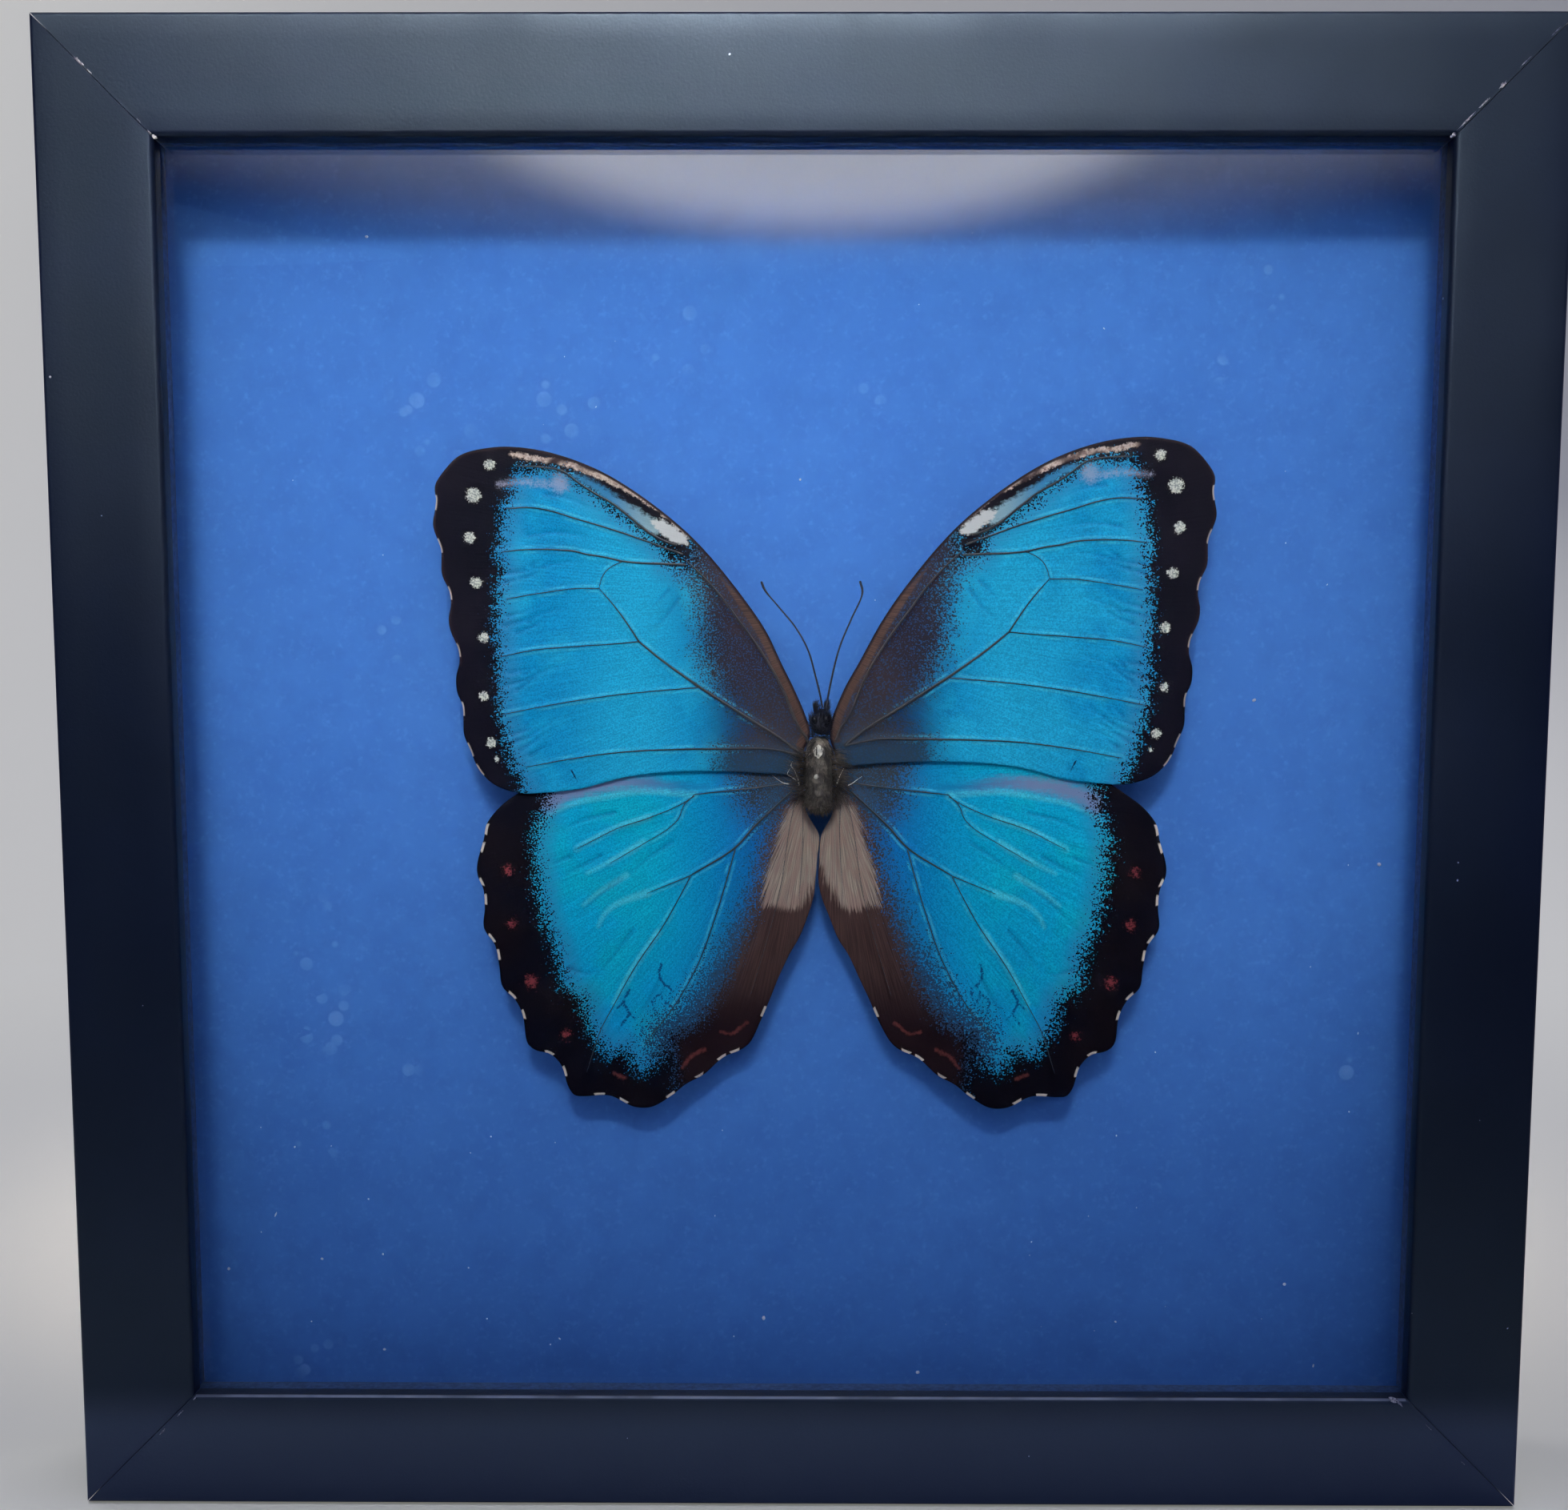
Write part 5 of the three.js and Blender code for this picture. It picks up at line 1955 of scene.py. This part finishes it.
class Seen(Enum):
    """How a lamp shows."""

    BOTH = 0
    MIRRORED = 1  # only as a reflection
    LIT = 2  # only by what it lights


@dataclass(frozen=True)
class Lamp:
    """An oval lamp: places and sizes in metres, power in watts, spread in degrees."""

    name: str
    place: tuple[float, float, float]
    aim: tuple[float, float, float]
    size: Pair
    power: float
    colour: tuple[float, float, float] = (1.0, 1.0, 1.0)
    spread: float = 180.0
    fade: Pair | None = None  # where its light fades out, with its rim at 0.5
    seen: Seen = Seen.BOTH


LAMPS = (
    Lamp("glare", (0.009, -0.60, 0.472), (0.009, 0.0, 0.472), (0.43, 0.21), 0.68, (0.98, 0.98, 1.0),
         fade=(0.36, 0.5), seen=Seen.MIRRORED),
    Lamp("haze", (0.012, -0.62, 0.968), (0.012, 0.0, 0.968), (1.8, 1.22), 7.5, (0.92, 0.97, 1.0),
         fade=(0.448, 0.5), seen=Seen.MIRRORED),
    Lamp("veil", (-0.30, -0.62, 0.968), (-0.30, 0.0, 0.968), (1.8, 1.2), 2.2, (0.22, 0.53, 0.92),
         seen=Seen.LIT),
    Lamp("key", (-0.04, -0.50, 0.62), (-0.02, 0.0, 0.188), (0.32, 0.08), 0.29, (1.0, 0.89, 0.76),
         spread=18.0),
    Lamp("low", (-0.05, -0.12, 0.5), (-0.05, -0.12, 0.0), (0.6, 0.1), 0.28, spread=24.0, seen=Seen.LIT),
    Lamp("backdrop", (-1.0, 0.4, 1.3), (-0.7, 1.3, 0.5), (0.9, 0.9), 7.5, (1.0, 0.97, 0.88)),
    Lamp("rear", (0.4, 0.9, 0.9), (0.0, 0.0, 0.12), (0.9, 0.9), 5.0, (1.0, 0.98, 0.95)),
    Lamp("front_floor", (0.0, -1.9, 2.2), (0.0, -1.9, 0.0), (1.2, 1.2), 3.2, (1.0, 0.97, 0.9),
         spread=64.0, seen=Seen.LIT),
    Lamp("far_wall", (-2.0, 0.0, 2.0), (-2.6, 1.3, 0.9), (0.9, 0.9), 8.0, (1.0, 0.97, 0.9), seen=Seen.LIT),
    Lamp("side", (1.0, 0.1, 0.6), (0.0, 0.0, 0.15), (0.7, 0.7), 0.7, (0.92, 0.96, 1.0)),
)


@dataclass
class Studio:
    """Camera, floor, sky and lamps."""

    focal: float = 2200.0  # in pixels of a picture 1960 wide
    picture_width: float = 1960.0
    sensor: float = 36.0
    eye: tuple[float, float, float] = (-1.208, -313.577, 133.758)
    pitch: float = -0.09929
    yaw: float = 0.00545
    roll: float = -0.00135
    shift_up: float = 0.1
    room: Colour = (0.010, 0.026, 0.20, 1.0)
    wall: Colour = (0.40, 0.41, 0.44, 1.0)

    def camera(self) -> None:
        """Makes the camera: level sight lines bent down a little, as the frame is looked at."""
        data = bpy.data.cameras.new("camera")
        data.sensor_width = self.sensor
        data.lens = self.sensor * self.focal / self.picture_width
        data.shift_y = self.shift_up
        data.clip_start = 0.01
        obj = linked("camera", data)
        turn = (
            Matrix.Rotation(self.roll, 3, "Z")
            @ Matrix.Rotation(self.pitch, 3, "X")
            @ Matrix.Rotation(self.yaw, 3, "Y")
        )
        right, up, ahead = (Vector((row[0], row[2], row[1])) for row in turn)
        basis = Matrix((right, up, -ahead)).transposed().to_4x4()
        obj.matrix_world = Matrix.Translation(Vector(self.eye) * MM) @ basis
        bpy.context.scene.camera = obj

    def hang(self, lamp: Lamp) -> None:
        """Hangs an area lamp.

        Args:
            lamp: Its place, aim, size and light.
        """
        data = bpy.data.lights.new(lamp.name, "AREA")
        data.shape = "ELLIPSE"
        data.size, data.size_y = lamp.size
        data.energy = lamp.power
        data.color = lamp.colour
        data.spread = math.radians(lamp.spread)
        obj = linked(lamp.name, data)
        obj.location = lamp.place
        obj.rotation_euler = (Vector(lamp.aim) - Vector(lamp.place)).to_track_quat("-Z", "Y").to_euler()
        obj.visible_diffuse = lamp.seen is not Seen.MIRRORED
        obj.visible_glossy = lamp.seen is not Seen.LIT
        if lamp.fade:
            self.soften(data, *lamp.fade)

    def soften(self, data: Any, start: float, end: float) -> None:
        """Fades a lamp from its middle to its rim, so that its mirror image has a soft edge.

        Args:
            data: The lamp.
            start: Where the fade starts, with the rim at 0.5.
            end: Where it ends.
        """
        data.use_nodes = True
        tree = data.node_tree
        add, link = tree.nodes.new, tree.links.new
        emission = next(n for n in tree.nodes if n.type == "EMISSION")
        place = add("ShaderNodeNewGeometry")
        centre = add("ShaderNodeVectorMath")
        centre.operation = "DISTANCE"
        centre.inputs[1].default_value = (0.5, 0.5, 0.0)
        fade = add("ShaderNodeMapRange")
        fade.interpolation_type = "SMOOTHSTEP"
        for index, value in ((1, start), (2, end), (3, 1.0), (4, 0.0)):
            fade.inputs[index].default_value = value
        link(place.outputs["Parametric"], centre.inputs[0])
        link(centre.outputs["Value"], fade.inputs[0])
        link(fade.outputs[0], emission.inputs["Strength"])

    def sky(self) -> None:
        """Sets a dim bluish room, which the glass doesn't mirror, and a pale wall behind all."""
        world = bpy.data.worlds.new("studio")
        bpy.context.scene.world = world
        world.use_nodes = True
        tree = world.node_tree
        add, link = tree.nodes.new, tree.links.new
        tree.nodes.clear()
        output = add("ShaderNodeOutputWorld")
        room = add("ShaderNodeBackground")
        room.inputs["Color"].default_value = self.room
        dark = add("ShaderNodeBackground")
        dark.inputs["Strength"].default_value = 0.0
        path = add("ShaderNodeLightPath")
        both = add("ShaderNodeMixShader")
        link(path.outputs["Is Singular Ray"], both.inputs[0])
        link(room.outputs[0], both.inputs[1])
        link(dark.outputs[0], both.inputs[2])
        wall = add("ShaderNodeBackground")
        wall.inputs["Color"].default_value = self.wall
        seen = add("ShaderNodeMixShader")
        link(path.outputs["Is Camera Ray"], seen.inputs[0])
        link(both.outputs[0], seen.inputs[1])
        link(wall.outputs[0], seen.inputs[2])
        link(seen.outputs[0], output.inputs["Surface"])

    def floor(self) -> None:
        """Lays a plain pale floor that curves up into a wall behind; the glass mirrors it dark."""
        s = Shader("floor", Roughness=0.9, Specular_IOR_Level=0.1)
        cloud = s.noise(3.0)
        s.done(Base_Color=s.mix(cloud, paint(200, 200, 196), paint(207, 207, 203)))
        dark = s.node("BsdfDiffuse", {"Color": (0.0, 0.0, 0.0, 1.0)})
        path = s.node("LightPath")
        both = s.node("MixShader", {0: path.outputs["Is Singular Ray"]})
        s.put(both.inputs[1], s.surface.outputs[0])
        s.put(both.inputs[2], dark.outputs[0])
        s.put(s.output.inputs["Surface"], both.outputs[0])
        s.put(s.surface.inputs["Emission Color"], (0.16, 0.16, 0.13, 1.0))
        s.put(s.surface.inputs["Emission Strength"], path.outputs["Is Camera Ray"])
        half, bend, start, height, sink = 4.0, 0.8, 0.6, 3.0, 0.0002
        arc = np.linspace(0.0, math.pi / 2, 13)
        profile = [(-half, 0.0), (0.0, 0.0)]
        profile += [(start + bend * math.sin(t), bend * (1.0 - math.cos(t))) for t in arc]
        profile.append((start + bend, height))
        mesh = bpy.data.meshes.new("floor")
        points = [(x, y, z - sink) for y, z in profile for x in (-half, half)]
        faces = [[2 * i, 2 * i + 1, 2 * i + 3, 2 * i + 2] for i in range(len(profile) - 1)]
        mesh.from_pydata(points, [], faces)
        mesh.materials.append(s.material)
        mesh.polygons.foreach_set("use_smooth", [True] * len(mesh.polygons))
        obj = linked("floor", mesh)

    def build(self) -> None:
        """Sets up the studio."""
        bpy.context.scene.view_settings.view_transform = "Standard"
        self.camera()
        self.sky()
        self.floor()
        for lamp in LAMPS:
            self.hang(lamp)


def main() -> None:
    """Builds the studio, the frame and the butterfly."""
    logging.basicConfig(level=logging.INFO, format="%(name)s: %(message)s")
    Studio().build()
    Rails().build()
    Glazing().build()
    tubes, bristles, specks = tube_recipe(), bristle_recipe(), speck_recipe()
    veins = HairFinish("vein", paint(8, 20, 34), paint(34, 33, 38), 0.5).build()
    forewing = ForewingFinish("forewing_scales").build()
    hindwing = HindwingFinish("hindwing_scales").build()
    set_higher = {Side.LEFT: (0.0, 0.0), Side.RIGHT: (0.6, 1.7)}
    for side, shift in set_higher.items():
        Forewing(side, forewing, veins, tubes, shift).build()
        Hindwing(side, hindwing, veins, tubes).build()
    Body(tubes, bristles).build()
    Dust(specks).build()


if __name__ == "__main__":
    main()
